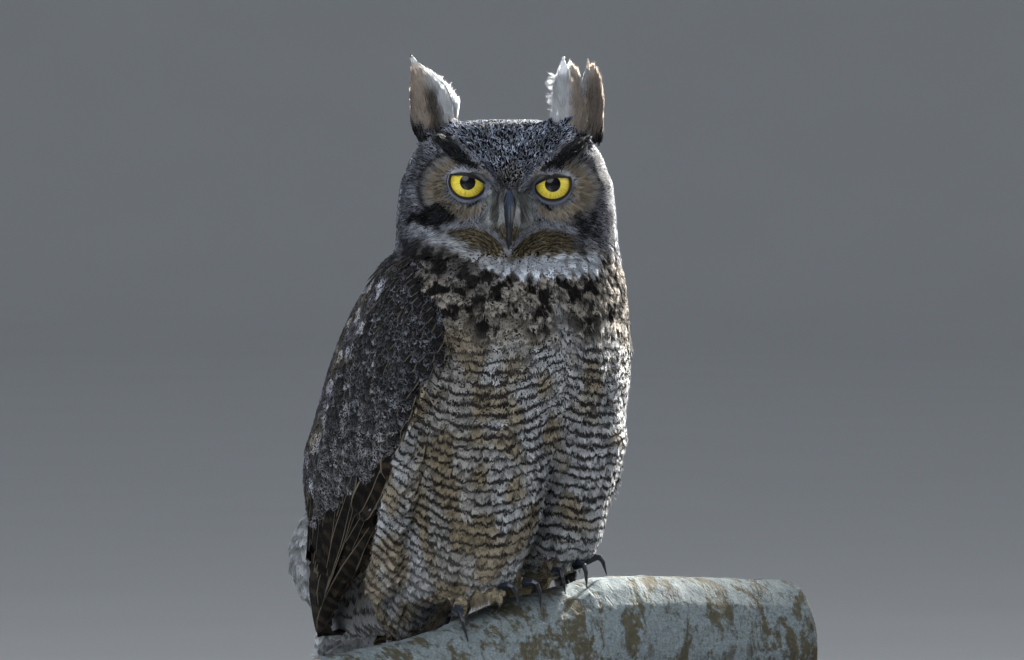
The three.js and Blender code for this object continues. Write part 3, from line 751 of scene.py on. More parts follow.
def head_marks(m, p):
    """Lays the face, crown and bib over the body's marks."""
    h = to_head(p)
    h = h + np.column_stack([wobble(h, 9, 41), wobble(h, 9, 42), wobble(h, 9, 43)]) * 0.8
    x, y, z = h.T
    side = np.abs(x)
    flat = np.column_stack([side, z])
    throat = np.column_stack([x, z])
    grey, buff, ink, black, tawny = tones("grey buff ink black tawny")
    navy = np.array(colour(20, 24, 35))
    front = ramp(-8, -26, y)
    m.lay(ramp(-62, -44, z + 0.25 * y), tint=grey * 1.35, ink=navy * 0.6, bars=0, blotch=0.55, mottle=0.66)
    crown = ramp(-2, 3, z - 1 - 1.05 * side) * ramp(64, 50, side)
    m.lay(crown, tint=grey * np.array([1.25, 1.35, 1.5]), ink=navy * 0.32, blotch=0.5, mottle=0.84)
    m.lay(front * ramp(14, 6, off_line(throat, ((0, 4), (0, 16)))) * 0.5, tint=buff * 0.7)
    brow = ((4, -1), (20, 16), (45, 42))
    on_brow = ramp(3.8, 1.6, off_line(flat, brow)) * ramp(56, 24, side)
    m.lay(front * on_brow * 0.85, tint=grey * 1.25, mottle=0.3, blotch=0)
    disc = np.hypot((side - 44) / 28.0, (z - 4) / 27.0)
    disc_on = front * ramp(1.05, 0.93, disc) * ramp(14, 22, side)
    # Painted light: the disc is made lighter on the owl's left (x > 0) than on its right, as if that side
    # were lit.
    m.lay(disc_on, tint=tawny * (1.25 + 0.25 * ramp(-10, 10, x))[:, None], ink=ink, blotch=0, mottle=0.10,
        bars=0)
    m.lay(ramp(0.74, 0.92, disc) * disc_on * ramp(30, 45, side), tint=grey * 0.62 + buff * 0.2, mottle=0.15)
    rim = ramp(0.12, 0.02, np.abs(disc - 1.06)) * front * ramp(40, 56, side)
    m.lay(rim * np.where(x < 0, 0.9, 0.55), tint=black * 2, ink=black, blotch=0, mottle=0.6)
    m.lay(front * ramp(7.5, 4.5, off_line(flat, ((31, 20), (40, 28), (56, 44)))), tint=grey * 0.3,
        ink=black, mottle=1.0, blotch=0)
    lore = front * ramp(24, 15, side) * ramp(6, -2, z) * ramp(-46, -36, z)
    m.lay(lore, tint=np.array(colour(176, 180, 180)), ink=navy, mottle=0.2, blotch=0)
    reach = eye_reach(h)
    under = ramp(1.75, 1.35, reach) * ramp(4, -3, z) * front
    m.lay(under * 0.8, tint=np.array(colour(104, 112, 126)), mottle=0.3)
    m.lay(front * ramp(1.9, 0.7, off_line(flat, ((20, 6), (26, -6), (34, -11)))), tint=black, ink=black)
    lid = ((25, 15.5), (35, 19.2), (46, 19.0), (53, 12))
    m.lay(front * ramp(2.8, 1.2, off_line(flat, lid)) * 0.9, tint=grey * 1.25, mottle=0.35, blotch=0)
    m.lay(front * ramp(1.30, 1.15, reach),
        tint=LID_BELOW + (LID_ABOVE - LID_BELOW) * ramp(-2, 8, z - 9)[:, None], mottle=0.1)
    ragged = 3.5 * wobble(h, 13, 46)
    patch = ramp(14, 8, off_line(throat, ((-57, -19), (-70, -25))) + ragged)
    patch = ramp(14, 2, y) * (patch + 0.5 * ramp(12, 6, off_line(throat, ((57, -22), (68, -24))) + ragged))
    m.lay(patch, tint=grey * 0.16, ink=black, mottle=0.9, blotch=1.0)
    chin = front * ramp(-23, -29, z + 0.22 * np.maximum(side - 30, 0)) * ramp(58, 46, side) * ramp(-56, -48,
        z)
    m.lay(chin, tint=buff * 0.75 + grey * 0.1, ink=navy * 0.3, bars=0.75, blotch=0.3, mottle=0.55)
    whisker = ((1, -45), (9, -33.5), (16, -28.5), (27, -24), (40, -25.5), (54, -28))
    m.line = np.where(chin > 0.5, (off_line(flat, whisker) + 0.8 * wobble(h, 12, 45)) / 3.0, m.line)
    m.duty = np.where(chin > 0.5, 0.5, m.duty)
    m.lay(front * ramp(3.4, 1.2, off_line(flat, whisker)), tint=grey * 1.2, mottle=0.4, bars=0, blotch=0)
    bib = ((-76, -30), (-60, -35), (-44, -41), (-20, -53), (2, -59), (26, -56), (70, -54))
    spread = 5.5 + 2.5 * ramp(-10, 30, x) + 2.6 * wobble(p, 11, 44)
    pale = np.array(colour(222, 231, 244))
    bright = 0.62 + 0.38 * ramp(-25, 15, x)
    m.lay(front * ramp(1.35, 0.55, off_line(throat, bib) / spread) * bright, tint=pale, ink=grey * 0.35,
        bars=0, blotch=0.15, mottle=0.3)
    collar = ((-86, -48), (-52, -54), (-24, -68))
    m.lay(front * ramp(14, 6, off_line(throat, collar)) * 0.6, tint=grey * 0.35, blotch=0.9)


def wing_marks(p):
    """Wing coverts: near black at the wrist, grey flecks below and behind."""
    m = Marks(len(p))
    grey, ink, black = tones("grey ink black")
    y, z = p.T[1:]
    m.tint[:] = grey * 0.9
    m.ink[:] = ink * 0.45
    m.lay(1.0, mottle=0.84, blotch=0.7)
    pale = ramp(200, 110, z + 0.35 * y)
    m.lay(pale, tint=grey * 1.0 + tone("buff") * 0.2, blotch=0.5, mottle=0.76)
    m.tint *= 0.62
    streak = ramp(0.0, 0.8, wobble(p * np.array([1, 1, 0.45]), 24, 3))
    m.lay(streak * 0.7, tint=grey * 1.0 + tone("buff") * 0.2, blotch=0.4)
    wrist = ramp(56, 26, np.hypot(y - 2, (z - 222) * 0.62))
    m.lay(wrist, tint=grey * 0.55, ink=black * 1.6, blotch=0.5, mottle=0.86)
    return m


def mantle_marks(p):
    """Back and shoulders: brown grey with black centres and buff edges."""
    m = Marks(len(p))
    grey, buff, ink = tones("grey buff ink")
    warm = ramp(-0.3, 0.8, wobble(p, 38, 21))
    m.tint[:] = grey * 0.7 + (buff * 0.8 - grey * 0.7) * (warm * 0.5)[:, None]
    m.lay(1.0, ink=ink * 0.9, blotch=0.8, mottle=0.66, bars=0)
    m.tint *= 1.9
    m.lay(ramp(250, 285, p[:, 2]), tint=grey * 1.2, blotch=0.4)
    return m


def flight_marks(p, along, seed):
    """Wing and tail quills: brown with dark bars across each one and a pale edge."""
    m = Marks(len(p))
    brown, ink = tone("brown"), tone("ink")
    m.tint[:] = brown * (0.30 + 0.30 * seed[:, None])
    m.ink[:] = ink * 0.4
    m.lay(1.0, bars=0.9, mottle=0.2)
    m.line = along / 14.0 + seed * 0.7
    m.duty[:] = 0.6
    return m


def tail_marks(p, along, seed):
    """Tail quills: buff brown with dark bars."""
    m = flight_marks(p, along, seed)
    m.tint[:] = (tone("buff") * 0.45 + tone("brown") * 0.5) * (0.85 + 0.3 * seed[:, None])
    m.line = along / 17.0 + seed * 0.3
    return m


def tail_covert_marks(p):
    """Soft feathers under and over the tail: white with thin wavy bars."""
    m = Marks(len(p))
    white, buff = tone("white"), tone("buff")
    m.tint[:] = white * 1.05 + (buff - white) * (0.35 * ramp(0, 1, wobble(p, 40, 8)))[:, None]
    m.lay(1.0, bars=0.8, mottle=0.12)
    m.lay(ramp(200, 240, p[:, 1]), tint=white * 1.25, bars=0.35)
    m.line = (p[:, 2] * 0.95 + 0.06 * p[:, 1] - 0.004 * p[:, 0] ** 2) / 11.5
    m.duty[:] = 0.32
    return m


def foot_marks(p):
    """Feathered toes: buff with brown flecks."""
    m = Marks(len(p))
    m.tint[:] = tone("buff") * 1.0 + tone("white") * 0.25
    m.lay(1.0, ink=tone("brown") * 0.5, blotch=0.5, mottle=0.25)
    return m


EAR_BROWN = np.array(colour(180, 168, 158))


def ear_marks(p):
    """Ear tufts: black at the base, a dark streak, brown outside and white on the inner edge.

    The inner white is raised with painted light, and the left tuft's outer edge has a painted rim of light.
    """
    m = Marks(len(p))
    h = to_head(p)
    h = h + np.column_stack([wobble(h, 12, 51), wobble(h, 12, 52), wobble(h, 12, 53)]) * 1.2
    x, z = h[:, 0], h[:, 2]
    place = np.column_stack([x, z])
    white, grey, black, brown = tones("white grey black brown")
    # The inner edges are pale in their own right; pale is raised above white as painted light, for the glow
    # of light coming through them from behind.
    pale = white * 1.15
    m.tint[:] = EAR_BROWN
    m.lay(1.0, mottle=0.12, blotch=0.1, ink=brown * 0.4)
    right = x < 0
    inner = x + 75 - 0.32 * (105 - z)
    # The right tuft's white inner edge, partly painted light.
    m.lay(right * ramp(-5, 9, inner) * ramp(50, 66, z), tint=pale, blotch=0, mottle=0.05)
    m.lay(right * ramp(100, 105, z), tint=pale * 0.7, mottle=0.3)
    m.lay(right * ramp(8, 2, off_line(place, ((-58, 42), (-61, 60), (-65, 78)))) * 0.85,
        tint=EAR_BROWN * 0.12, mottle=0.3)
    left = ~right
    # The left tuft's white inner edge, partly painted light.
    m.lay(left * ramp(53, 44, x + 0.04 * (z - 60)) * ramp(50, 66, z), tint=pale, blotch=0, mottle=0.05)
    m.lay(left * ramp(6, 3, off_line(place, ((57, 98), (59, 84)))), tint=pale * 0.75, mottle=0.3)
    m.lay(left * ramp(57, 63, x) * ramp(104, 84, z), tint=EAR_BROWN * 0.5, blotch=0.1, mottle=0.2)
    # Painted light: a rim of light along the left tuft's outer edge, made a third lighter than its brown.
    m.lay(left * ramp(70, 73.5, x) * ramp(56, 64, z), tint=EAR_BROWN * 1.3, mottle=0.1, blotch=0)
    m.lay(ramp(58, 46, z - 0.25 * np.abs(np.abs(x) - 60)), tint=grey * 0.3, ink=black, mottle=0.95)
    return m


def marks_for(kind, p, along=None, seed=None):
    """The marks of one kind of plumage."""
    if kind in ("secondaries", "primaries"):
        return flight_marks(p, along, seed)
    if kind == "tail":
        return tail_marks(p, along, seed)
    makers = {"coverts": wing_marks, "mantle": mantle_marks, "tail_coverts": tail_covert_marks,
        "foot": foot_marks, "ear": ear_marks}
    return makers.get(kind, body_marks)(p)


def store_marks(mesh, m, seed, lie):
    """Puts marks on a mesh for the plumage material."""
    one = np.ones((len(m.tint), 1))
    put(mesh, "tint", np.hstack([np.clip(m.tint, 0, 1), one]))
    put(mesh, "ink", np.hstack([np.clip(m.ink, 0, 1), one]))
    put(mesh, "mark", np.clip(m.mark, 0, 1))
    put(mesh, "band", np.column_stack([m.line, m.duty, seed]))
    put(mesh, "lie", lie)


# ---- the skin

work = {}


def node_labels(points):
    """For each point in owl millimetres, the number in FLESH of the nearest node of flesh."""
    corners, faces, owner = [], [], []
    for number, name in enumerate(FLESH):
        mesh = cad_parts[name].data
        start = len(corners)
        corners += [v.co.copy() for v in mesh.vertices]
        faces += [[start + v for v in polygon.vertices] for polygon in mesh.polygons]
        owner += [number] * len(mesh.polygons)
    tree = BVHTree.FromPolygons(corners, faces)
    return np.array([owner[tree.find_nearest(p)[2]] for p in to_row(points)])


def unwrap(mesh):
    """Unwraps a mesh by its own shape into a map named OFBake."""
    made = new_object("unwrap", mesh)
    bpy.context.view_layer.objects.active = made
    made.select_set(True)
    mesh.uv_layers.new(name="OFBake")
    bpy.ops.object.mode_set(mode="EDIT")
    bpy.ops.mesh.select_all(action="SELECT")
    bpy.ops.uv.smart_project(angle_limit=math.radians(66), island_margin=0.004)
    bpy.ops.object.mode_set(mode="OBJECT")
    bpy.data.objects.remove(made)


def unfolded(mesh, points, outward, depth):
    """Depths eased until no face turns over as its points are pulled in."""
    corners = np.array([tuple(face.vertices) for face in mesh.polygons])

    def facing(places):
        a, b, c = (places[corners[:, i]] for i in range(3))
        return unit(np.cross(b - a, c - a))

    before = facing(points)
    for _ in range(14):
        after = facing(points - outward * depth[:, None])
        bad = np.unique(corners[np.sum(before * after, axis=1) < 0.55])
        if not len(bad):
            break
        share = np.ones(len(points))
        share[bad] = 0.72
        depth = depth * np.minimum(share, relaxed(share[:, None], mesh, 2)[:, 0].clip(0.6, 1))
    return depth


class OWL_OT_skin(bpy.types.Operator):
    """Make the skin that lies under the coat"""

    bl_idname = "owl.skin"
    bl_label = "Skin"

    def execute(self, context):
        shell = remeshed(FLESH, 3.0, 1.7, 5)
        shell.name = "owl_shell"
        unwrap(shell)
        points = vertices_of(shell)
        kinds = np.array([family(name) for name in FLESH])[node_labels(points)]
        before = points[:, 1] < np.interp(points[:, 2], *np.array(WING_FRONT).T)
        on_wing = np.isin(kinds, (*WING_KINDS, "mantle"))
        kinds = np.where(on_wing & before & (points[:, 2] < SHOULDER), "trunk", kinds)
        kinds = np.where((kinds == "leg") & (above_toes(points) < 0), "foot", kinds)
        kinds = np.where((kinds == "tail") & (points[:, 2] > TAIL_ROOT), "tail_coverts", kinds)
        outward = normals_of(shell)
        depth = np.array([COAT_DEPTH[k] for k in kinds])
        h = to_head(points)
        depth = np.where((kinds == "head") & (h[:, 1] < -24), 2.6, depth)
        row = to_row(points)
        tree = BVHTree.FromPolygons([Vector(v) for v in row], [tuple(t.vertices) for t in shell.polygons])
        thick = np.empty(len(points))
        for i, (start, normal) in enumerate(zip(row, outward)):
            hit = tree.ray_cast(Vector(start - normal * 0.0004), Vector(-normal))
            thick[i] = hit[3] / MM if hit[0] is not None else 100.0
        depth = np.minimum(depth, 0.3 * thick)
        depth = np.maximum(relaxed(depth[:, None], shell, 6)[:, 0], 0.2)
        depth = unfolded(shell, points, outward, depth)
        work["shell"] = new_object("owl_shell", shell, shown=False)
        work["kinds"] = kinds
        work["tree"] = tree
        skin = shell.copy()
        skin.name = "owl_skin"
        put_vertices(skin, points - outward * depth[:, None])
        m = Marks(len(points))
        for kind in np.unique(kinds):
            chosen = kinds == kind
            part = marks_for(kind, points[chosen], points[chosen][:, 2], np.full(chosen.sum(), 0.5))
            for name in ("tint", "ink", "mark", "line", "duty"):
                getattr(m, name)[chosen] = getattr(part, name)
        # Painted shade: the skin of trunk and legs beside the wings is darkened, to stand for the shadow
        # under the wing's edge.
        fold = shell_mask("trunk", "leg") * (1 - clear_of(("trunk", "leg"), WING_KINDS, 10))
        m.tint *= 1 - 0.8 * fold[:, None]
        half = np.full(len(points), 0.5)
        store_marks(skin, m, half, np.column_stack([half, half, half * 0]))
        piece = new_object("owl_skin", skin)
        finish(piece, plumage_material("owl_skin_plumage", barb=0.4, own=False), "pale_feathers", *FLESH)
        return {"FINISHED"}


# ---- feather shapes


def feather_mesh(name, corners, faces, lie):
    """A flat feather one unit long and wide, with its place on the vane and its rise in an attribute."""
    mesh = bpy.data.meshes.new(name)
    mesh.from_pydata(corners, [], faces)
    put(mesh, "tpl", lie)
    mesh.shade_smooth()
    return mesh


def rise_at(x, y):
    """How far under the coat's outside a point of a feather lies, from -1 at its root."""
    return -((1 - min(y, 1.0)) ** 1.25) - 0.16 * x * x * (0.4 + 0.6 * y)


def vane_shape(name, rng, rows, spikes, width_at, fray):
    """A vane with barbs standing out of its edge."""
    corners, faces, lie = [], [], []
    columns = (-1.0, -0.5, 0.0, 0.5, 1.0)
    bend = rng.uniform(-0.07, 0.07)
    for j in range(rows + 1):
        y = j / rows
        wide = width_at(y)
        for c in columns:
            droop = 0.07 * (1 - c * c) * (1 if j == rows else 0)
            corners.append((0.5 * wide * c + bend * y * y, y * 0.94 + droop, 0))
            lie.append((c * wide, y, rise_at(c * wide, y)))
    for j in range(rows):
        for i in range(4):
            a = j * 5 + i
            faces.append((a, a + 1, a + 6, a + 5))
    for sign in (-1, 1):
        for k in range(spikes):
            y = 0.22 + 0.76 * (k + rng.uniform(0.1, 0.9)) / spikes
            edge = 0.5 * width_at(y) * sign * 0.92
            out = fray * rng.uniform(0.5, 1.3)
            start = len(corners)
            lean = out * rng.uniform(0.9, 1.6)
            place = ((edge, y * 0.94 - 0.035), (edge, y * 0.94 + 0.035),
                (edge + sign * out * 0.55, y * 0.94 + lean))
            for px, py in place:
                corners.append((px + bend * y * y, py, 0))
                lie.append(
                    (2 * px, min(py, 1.0), rise_at(2 * px, min(py, 1.0)) + 0.05 * rng.uniform(-1, 1)))
            faces.append((start, start + 2, start + 1) if sign < 0 else (start, start + 1, start + 2))
    for k in range(5):
        x = rng.uniform(-0.3, 0.3) * width_at(0.95)
        start = len(corners)
        for px, py in ((x - 0.035, 0.93), (x + 0.035, 0.93),
            (x * 1.5, 0.98 + fray * rng.uniform(0.6, 1.5))):
            corners.append((px + bend, py, 0))
            lie.append((2 * px, min(py, 1.0), 0.04 * rng.uniform(-1, 1)))
        faces.append((start, start + 1, start + 2))
    return feather_mesh(name, corners, faces, lie)


def plume_shape(name, rng, strands, spread, thin, rows=2):
    """A soft plume of separate pointed strands."""
    corners, faces, lie = [], [], []
    for k in range(strands):
        side = (k + 0.5) / strands * 2 - 1 + rng.uniform(-0.12, 0.12)
        root = 0.16 * side
        reach = 1 - 0.32 * abs(side) ** 1.6 - rng.uniform(0, 0.12)
        begin = rng.uniform(0.0, 0.12)
        start = len(corners)
        high = rng.uniform(-0.12, 0.12)
        for j in range(rows + 1):
            t = j / rows
            y = begin + (reach - begin) * t
            x = root + 0.5 * spread * side * t ** 0.8
            half = 0.5 * thin * (1 - 0.25 * t)
            ends = ((x, y),) if j == rows else ((x - half, y), (x + half, y))
            for px, py in ends:
                corners.append((px, py, 0))
                lie.append((2 * px, py, rise_at(px, py) + high * t))
        for j in range(rows - 1):
            a = start + 2 * j
            faces.append((a, a + 1, a + 3, a + 2))
        a = start + 2 * (rows - 1)
        faces.append((a, a + 1, a + 2))
    return feather_mesh(name, corners, faces, lie)


def blade_shape(name, rng, rows):
    """A long clean flight feather, narrower in front of its shaft."""
    corners, faces, lie = [], [], []
    columns = (-1.0, -0.55, -0.12, 0.0, 0.3, 0.7, 1.0)
    for j in range(rows + 1):
        y = j / rows
        wide = min(1.0, 0.45 + 1.4 * y) * math.sqrt(max(1 - max((y - 0.72) / 0.285, 0) ** 2.4, 0.02))
        for c in columns:
            reach = 0.62 if c < 0 else 1.0
            corners.append((0.5 * wide * c * reach * 1.2, y, 0))
            camber = -0.12 * c * c * (0.7 if c < 0 else 1.0)
            lie.append((c, y, -((1 - y) ** 1.1) * 0.6 + 0.3 * camber))
    for j in range(rows):
        for i in range(6):
            a = j * 7 + i
            faces.append((a, a + 1, a + 8, a + 7))
    return feather_mesh(name, corners, faces, lie)


def contour_width(y):
    """Width of a body feather along its length."""
    return min(1.0, 0.35 + 1.7 * y) * math.sqrt(max(1 - max((y - 0.5) / 0.53, 0) ** 2.2, 0.03))


def covert_width(y):
    """Width of a clean, round wing covert along its length."""
    return min(1.0, 0.4 + 1.6 * y) * math.sqrt(max(1 - max((y - 0.66) / 0.36, 0) ** 2.0, 0.04))


# For each kind of feather: its seed, how many shapes it has, what makes them and their sizes.
FEATHER_KINDS = {"contour": (1, 4, vane_shape, 5, 8, contour_width, 0.13),
    "covert": (2, 4, vane_shape, 5, 5, covert_width, 0.06), "plume": (3, 4, plume_shape, 9, 0.95, 0.11),
    "bristle": (4, 4, plume_shape, 6, 0.75, 0.15), "blade": (5, 1, blade_shape, 12),
    "whisker": (6, 4, plume_shape, 5, 0.6, 0.05, 4), "fan": (7, 4, vane_shape, 7, 8, contour_width, 0.05)}


def feather_set(kind):
    """A collection of like feather shapes, made once."""
    if kind not in work:
        seed, count, make, *sizes = FEATHER_KINDS[kind]
        rng = np.random.default_rng(seed)
        work[kind] = bpy.data.collections.new(kind)
        for i in range(count):
            shape = make(f"{kind}_{i}", rng, *sizes)
            work[kind].objects.link(bpy.data.objects.new(shape.name, shape))
    return work[kind]


# ---- planting the coat


def sockets(tree, names):
    """Gives a Geometry Nodes tree its named inputs and its one output."""
    for name, kind in names:
        tree.interface.new_socket(name, in_out="INPUT", socket_type=kind)
    tree.interface.new_socket("Geometry", in_out="OUTPUT", socket_type="NodeSocketGeometry")


def run_tree(mesh, tree, **inputs):
    """The plain mesh that a Geometry Nodes tree makes of a mesh."""
    made = new_object("run", mesh)
    modifier = made.modifiers.new("run", "NODES")
    modifier.node_group = tree
    for item in tree.interface.items_tree:
        if item.in_out == "INPUT" and item.name in inputs:
            modifier[item.identifier] = inputs[item.name]
    result = evaluated(made)
    made.modifiers.remove(modifier)
    bpy.data.objects.remove(made)
    return result


def root_tree():
    """Scatters roots over a surface, no nearer than a spacing."""
    if "root_tree" in work:
        return work["root_tree"]
    tree = bpy.data.node_groups.new("owl_feather_roots", "GeometryNodeTree")
    sockets(tree,
        (("Geometry", "NodeSocketGeometry"), ("Spacing", "NodeSocketFloat"), ("Density", "NodeSocketFloat"),
        ("Seed", "NodeSocketInt")))
    n = Nodes(tree)
    given = n.add("NodeGroupInput").outputs
    where = n.read("where", "FLOAT")
    spread = n.add("GeometryNodeDistributePointsOnFaces",
        {"Mesh": given["Geometry"], "Distance Min": given["Spacing"], "Density Max": given["Density"],
        "Density Factor": where, "Seed": given["Seed"]}, distribute_method="POISSON")
    up = n.add("GeometryNodeStoreNamedAttribute",
        {"Geometry": spread.outputs["Points"], "Name": "up", "Value": spread.outputs["Normal"]},
        data_type="FLOAT_VECTOR", domain="POINT")
    points = n.add("GeometryNodePointsToVertices", {0: up.outputs[0]})
    n.add("NodeGroupOutput", {0: points.outputs[0]})
    work["root_tree"] = tree
    return tree


def coat_tree():
    """Stands a feather on each root, lays it on the shell and keeps its place on the skin's map."""
    if "coat_tree" in work:
        return work["coat_tree"]
    tree = bpy.data.node_groups.new("owl_coat", "GeometryNodeTree")
    sockets(tree,
        (("Geometry", "NodeSocketGeometry"), ("Feathers", "NodeSocketCollection"),
        ("Shell", "NodeSocketObject"), ("Patch", "NodeSocketFloat"), ("Material", "NodeSocketMaterial")))
    n = Nodes(tree)
    given = n.add("NodeGroupInput").outputs
    shapes = n.add("GeometryNodeCollectionInfo",
        {"Collection": given["Feathers"], "Separate Children": True, "Reset Children": True})
    stood = n.add("GeometryNodeInstanceOnPoints",
        {"Points": given["Geometry"], "Instance": shapes.outputs[0], "Pick Instance": True,
        "Instance Index": n.read("pick", "INT"), "Rotation": n.read("turn"), "Scale": n.read("size")})
    real = n.add("GeometryNodeRealizeInstances", {0: stood.outputs[0]}).outputs[0]
    shell = n.add("GeometryNodeObjectInfo", {"Object": given["Shell"]}).outputs["Geometry"]
    here = n.add("GeometryNodeInputPosition").outputs[0]
    near = n.add("GeometryNodeSampleNearestSurface",
        {"Mesh": shell, "Value": here, "Sample Position": here}, data_type="FLOAT_VECTOR").outputs["Value"]
    facing = n.add("GeometryNodeInputNormal").outputs[0]
    outward = n.add("GeometryNodeSampleNearestSurface",
        {"Mesh": shell, "Value": facing, "Sample Position": here},
        data_type="FLOAT_VECTOR").outputs["Value"]
    hold = n.read("hold", "FLOAT")
    lie = n.read("tpl")
    parts = n.parts(lie)
    flat = n.add("ShaderNodeMix", {0: hold, 4: here, 5: near}, data_type="VECTOR").outputs[1]
    up = n.add("ShaderNodeMix", {0: hold, 4: n.read("up"), 5: outward}, data_type="VECTOR").outputs[1]
    high = n.fit(parts[2], n.read("depth", "FLOAT"), n.read("lift", "FLOAT"))
    placed = n.vector("ADD", flat, n.scaled(n.vector("NORMALIZE", up), high))
    moved = n.add("GeometryNodeSetPosition", {"Geometry": real, "Position": placed}).outputs[0]
    patch = n.vector("ADD", n.read("root_uv"), n.scaled(lie, given["Patch"]))
    mapped = n.add("GeometryNodeStoreNamedAttribute", {"Geometry": moved, "Name": "OFBake", "Value": patch},
        data_type="FLOAT2", domain="CORNER")
    final = n.add("GeometryNodeSetMaterial", {"Geometry": mapped.outputs[0], "Material": given["Material"]})
    n.add("NodeGroupOutput", {0: final.outputs[0]})
    work["coat_tree"] = tree
    return tree


def bridged():
    """For each vertex of the shell, the way out of the body at large and how deep in a crease it lies."""
    if "bridged" not in work:
        mesh = work["shell"].data
        points = shell_points()
        full = points
        for _ in range(24):
            full = full + (neighbours(full, mesh) - full) * 0.6
        out = unit(relaxed(normals_of(mesh), mesh, 14))
        work["bridged"] = out, np.maximum(np.sum((full - points) * out, axis=1), 0)
    return work["bridged"]


def scatter(where, spacing, seed):
    """Roots where the mask says, bridging creases: owl millimetres, normals and places on the map."""
    mesh = work["shell"].data.copy()
    out, fill = bridged()
    put(mesh, "where", where)
    put(mesh, "out", out)
    put(mesh, "fill", fill)
    gap = spacing * MM / math.sqrt(feathers().fullness)
    found = run_tree(mesh, root_tree(), Spacing=gap, Density=3.0 / gap**2, Seed=seed + feathers().seed)
    places = vertices_of(found)
    up, out, fill = unit(get(found, "up", 3)), unit(get(found, "out", 3)), get(found, "fill", 1)
    uv = get(found, "OFBake", 2)
    bpy.data.meshes.remove(mesh)
    bpy.data.meshes.remove(found)
    in_crease = ramp(0.8, 3.0, fill)[:, None]
    return places + out * (fill[:, None] * in_crease), unit(up * (1 - in_crease) + out * in_crease), uv


def laid(direction, up):
    """A direction laid flat on the surface."""
    flat = direction - up * np.sum(direction * up, axis=1, keepdims=True)
    return unit(flat)


def euler(lie, up):
    """The turns about X, Y and Z that point a feather's length along lie and its face along up."""
    right = np.cross(lie, up)
    return np.stack(
        [np.arctan2(lie[:, 2], up[:, 2]), -np.arcsin(np.clip(right[:, 2], -1, 1)),
        np.arctan2(right[:, 1], right[:, 0])], axis=1)


def plant(name, kind, places, up, uv, lie, size, shape, made, slot, hold, depth, seed,
    heart=0.55, lift=0.0):
    """One piece of coat. size is each feather's width and length, hold is how closely it follows the shell,
    depth is how deep its root lies, and heart is how far its colour is taken as one."""
    count = len(places)
    rng = np.random.default_rng(seed + feathers().seed)
    width, length = np.broadcast_to(size[0], count), np.broadcast_to(size[1], count)
    if 0 < hold < 0.95:
        follow = settled(places, lie, up, length)
        width, length, hold = width * (0.6 + 0.4 * follow), length * (0.4 + 0.6 * follow), hold * follow
    mesh = bpy.data.meshes.new(name + "_roots")
    mesh.vertices.add(count)
    put_vertices(mesh, places)
    seeds = rng.uniform(size=count)
    put(mesh, "pick", rng.integers(0, 4, count))
    put(mesh, "turn", euler(lie, up))
    put(mesh, "size", np.column_stack([width, length, length]) * MM)
    put(mesh, "up", up)
    put(mesh, "hold", np.broadcast_to(hold, count))
    deep = np.broadcast_to(depth, count) * rng.uniform(0.8, 1.15, count)
    put(mesh, "depth", deep * MM)
    put(mesh, "lift", np.broadcast_to(lift, count) * MM)
    put(mesh, "root_uv", np.hstack([uv, np.zeros((count, 1))]))
    put(mesh, "seed", seeds)
    put(mesh, "long", length)
    put(mesh, "heart", places + lie * (0.62 * length)[:, None])
    coat = run_tree(mesh, coat_tree(), Feathers=feather_set(shape), Shell=work["shell"], Patch=0.003,
        Material=made)
    coat.name = name
    points = vertices_of(coat)
    tpl, whole, along = get(coat, "tpl", 3), get(coat, "heart", 3), get(coat, "long", 1)
    seed_at = get(coat, "seed", 1)
    m = marks_for(kind, points + (whole - points) * heart, tpl[:, 1] * along, seed_at)
    if kind not in ("secondaries", "primaries", "tail"):
        exact = marks_for(kind, points) if heart > 0.3 else m
        m.line = exact.line
    barbs = 2 * math.pi * along / (feathers().barb_spacing / MM)
    store_marks(coat, m, seed_at, np.stack([tpl[:, 0], tpl[:, 1], barbs], axis=1))
    for spare in ("tpl", "heart", "long", "seed", "root_uv", "out", "fill", "where", "lift",
        "depth", "hold", "up", "size", "turn", "pick"):
        if spare in coat.attributes:
            coat.attributes.remove(coat.attributes[spare])
    coat.shade_smooth()
    bpy.data.meshes.remove(mesh)
    return finish(new_object(name, coat), made, slot)


def settled(places, lie, up, length):
    """How far each feather may follow the shell, 0 where the shell turns away under it."""
    facing = np.ones(len(places))
    for share in (0.5, 1.0):
        spots = to_row(places + lie * (length * share)[:, None])
        near = np.array([work["tree"].find_nearest(Vector(spot))[1] for spot in spots])
        facing = np.minimum(facing, np.sum(near * up, axis=1))
    return ramp(-0.1, 0.45, facing)


def on_map(places):
    """Where each place's nearest point of the shell lies on the skin's map."""
    mesh = work["shell"].data
    flat = np.empty(len(mesh.loops) * 2, dtype=np.float32)
    mesh.attributes["OFBake"].data.foreach_get("vector", flat)
    corners = flat.reshape(-1, 2)
    found = [work["tree"].find_nearest(Vector(place))[2] for place in to_row(places)]
    return np.array([corners[list(mesh.polygons[i].loop_indices)].mean(axis=0) for i in found])


def shell_mask(*kinds):
    """1 on the shell's vertices of these kinds."""
    return np.isin(work["kinds"], kinds).astype(float)


def clear_of(kinds, near, rounds):
    """1 on the shell's vertices of these kinds, falling to 0 beside the kinds named in near."""
    beside = relaxed(shell_mask(*near)[:, None], work["shell"].data, rounds)[:, 0]
    return shell_mask(*kinds) * ramp(0.30, 0.08, beside)


def shell_points():
    """The shell's vertices in owl millimetres."""
    return vertices_of(work["shell"].data)


def jittered(lie, up, amount, seed):
    """A lie with each feather turned a little, by about amount radians."""
    rng = np.random.default_rng(seed)
    right = np.cross(lie, up)
    return laid(lie + right * (rng.normal(0, 1, len(lie)) * amount)[:, None], up)


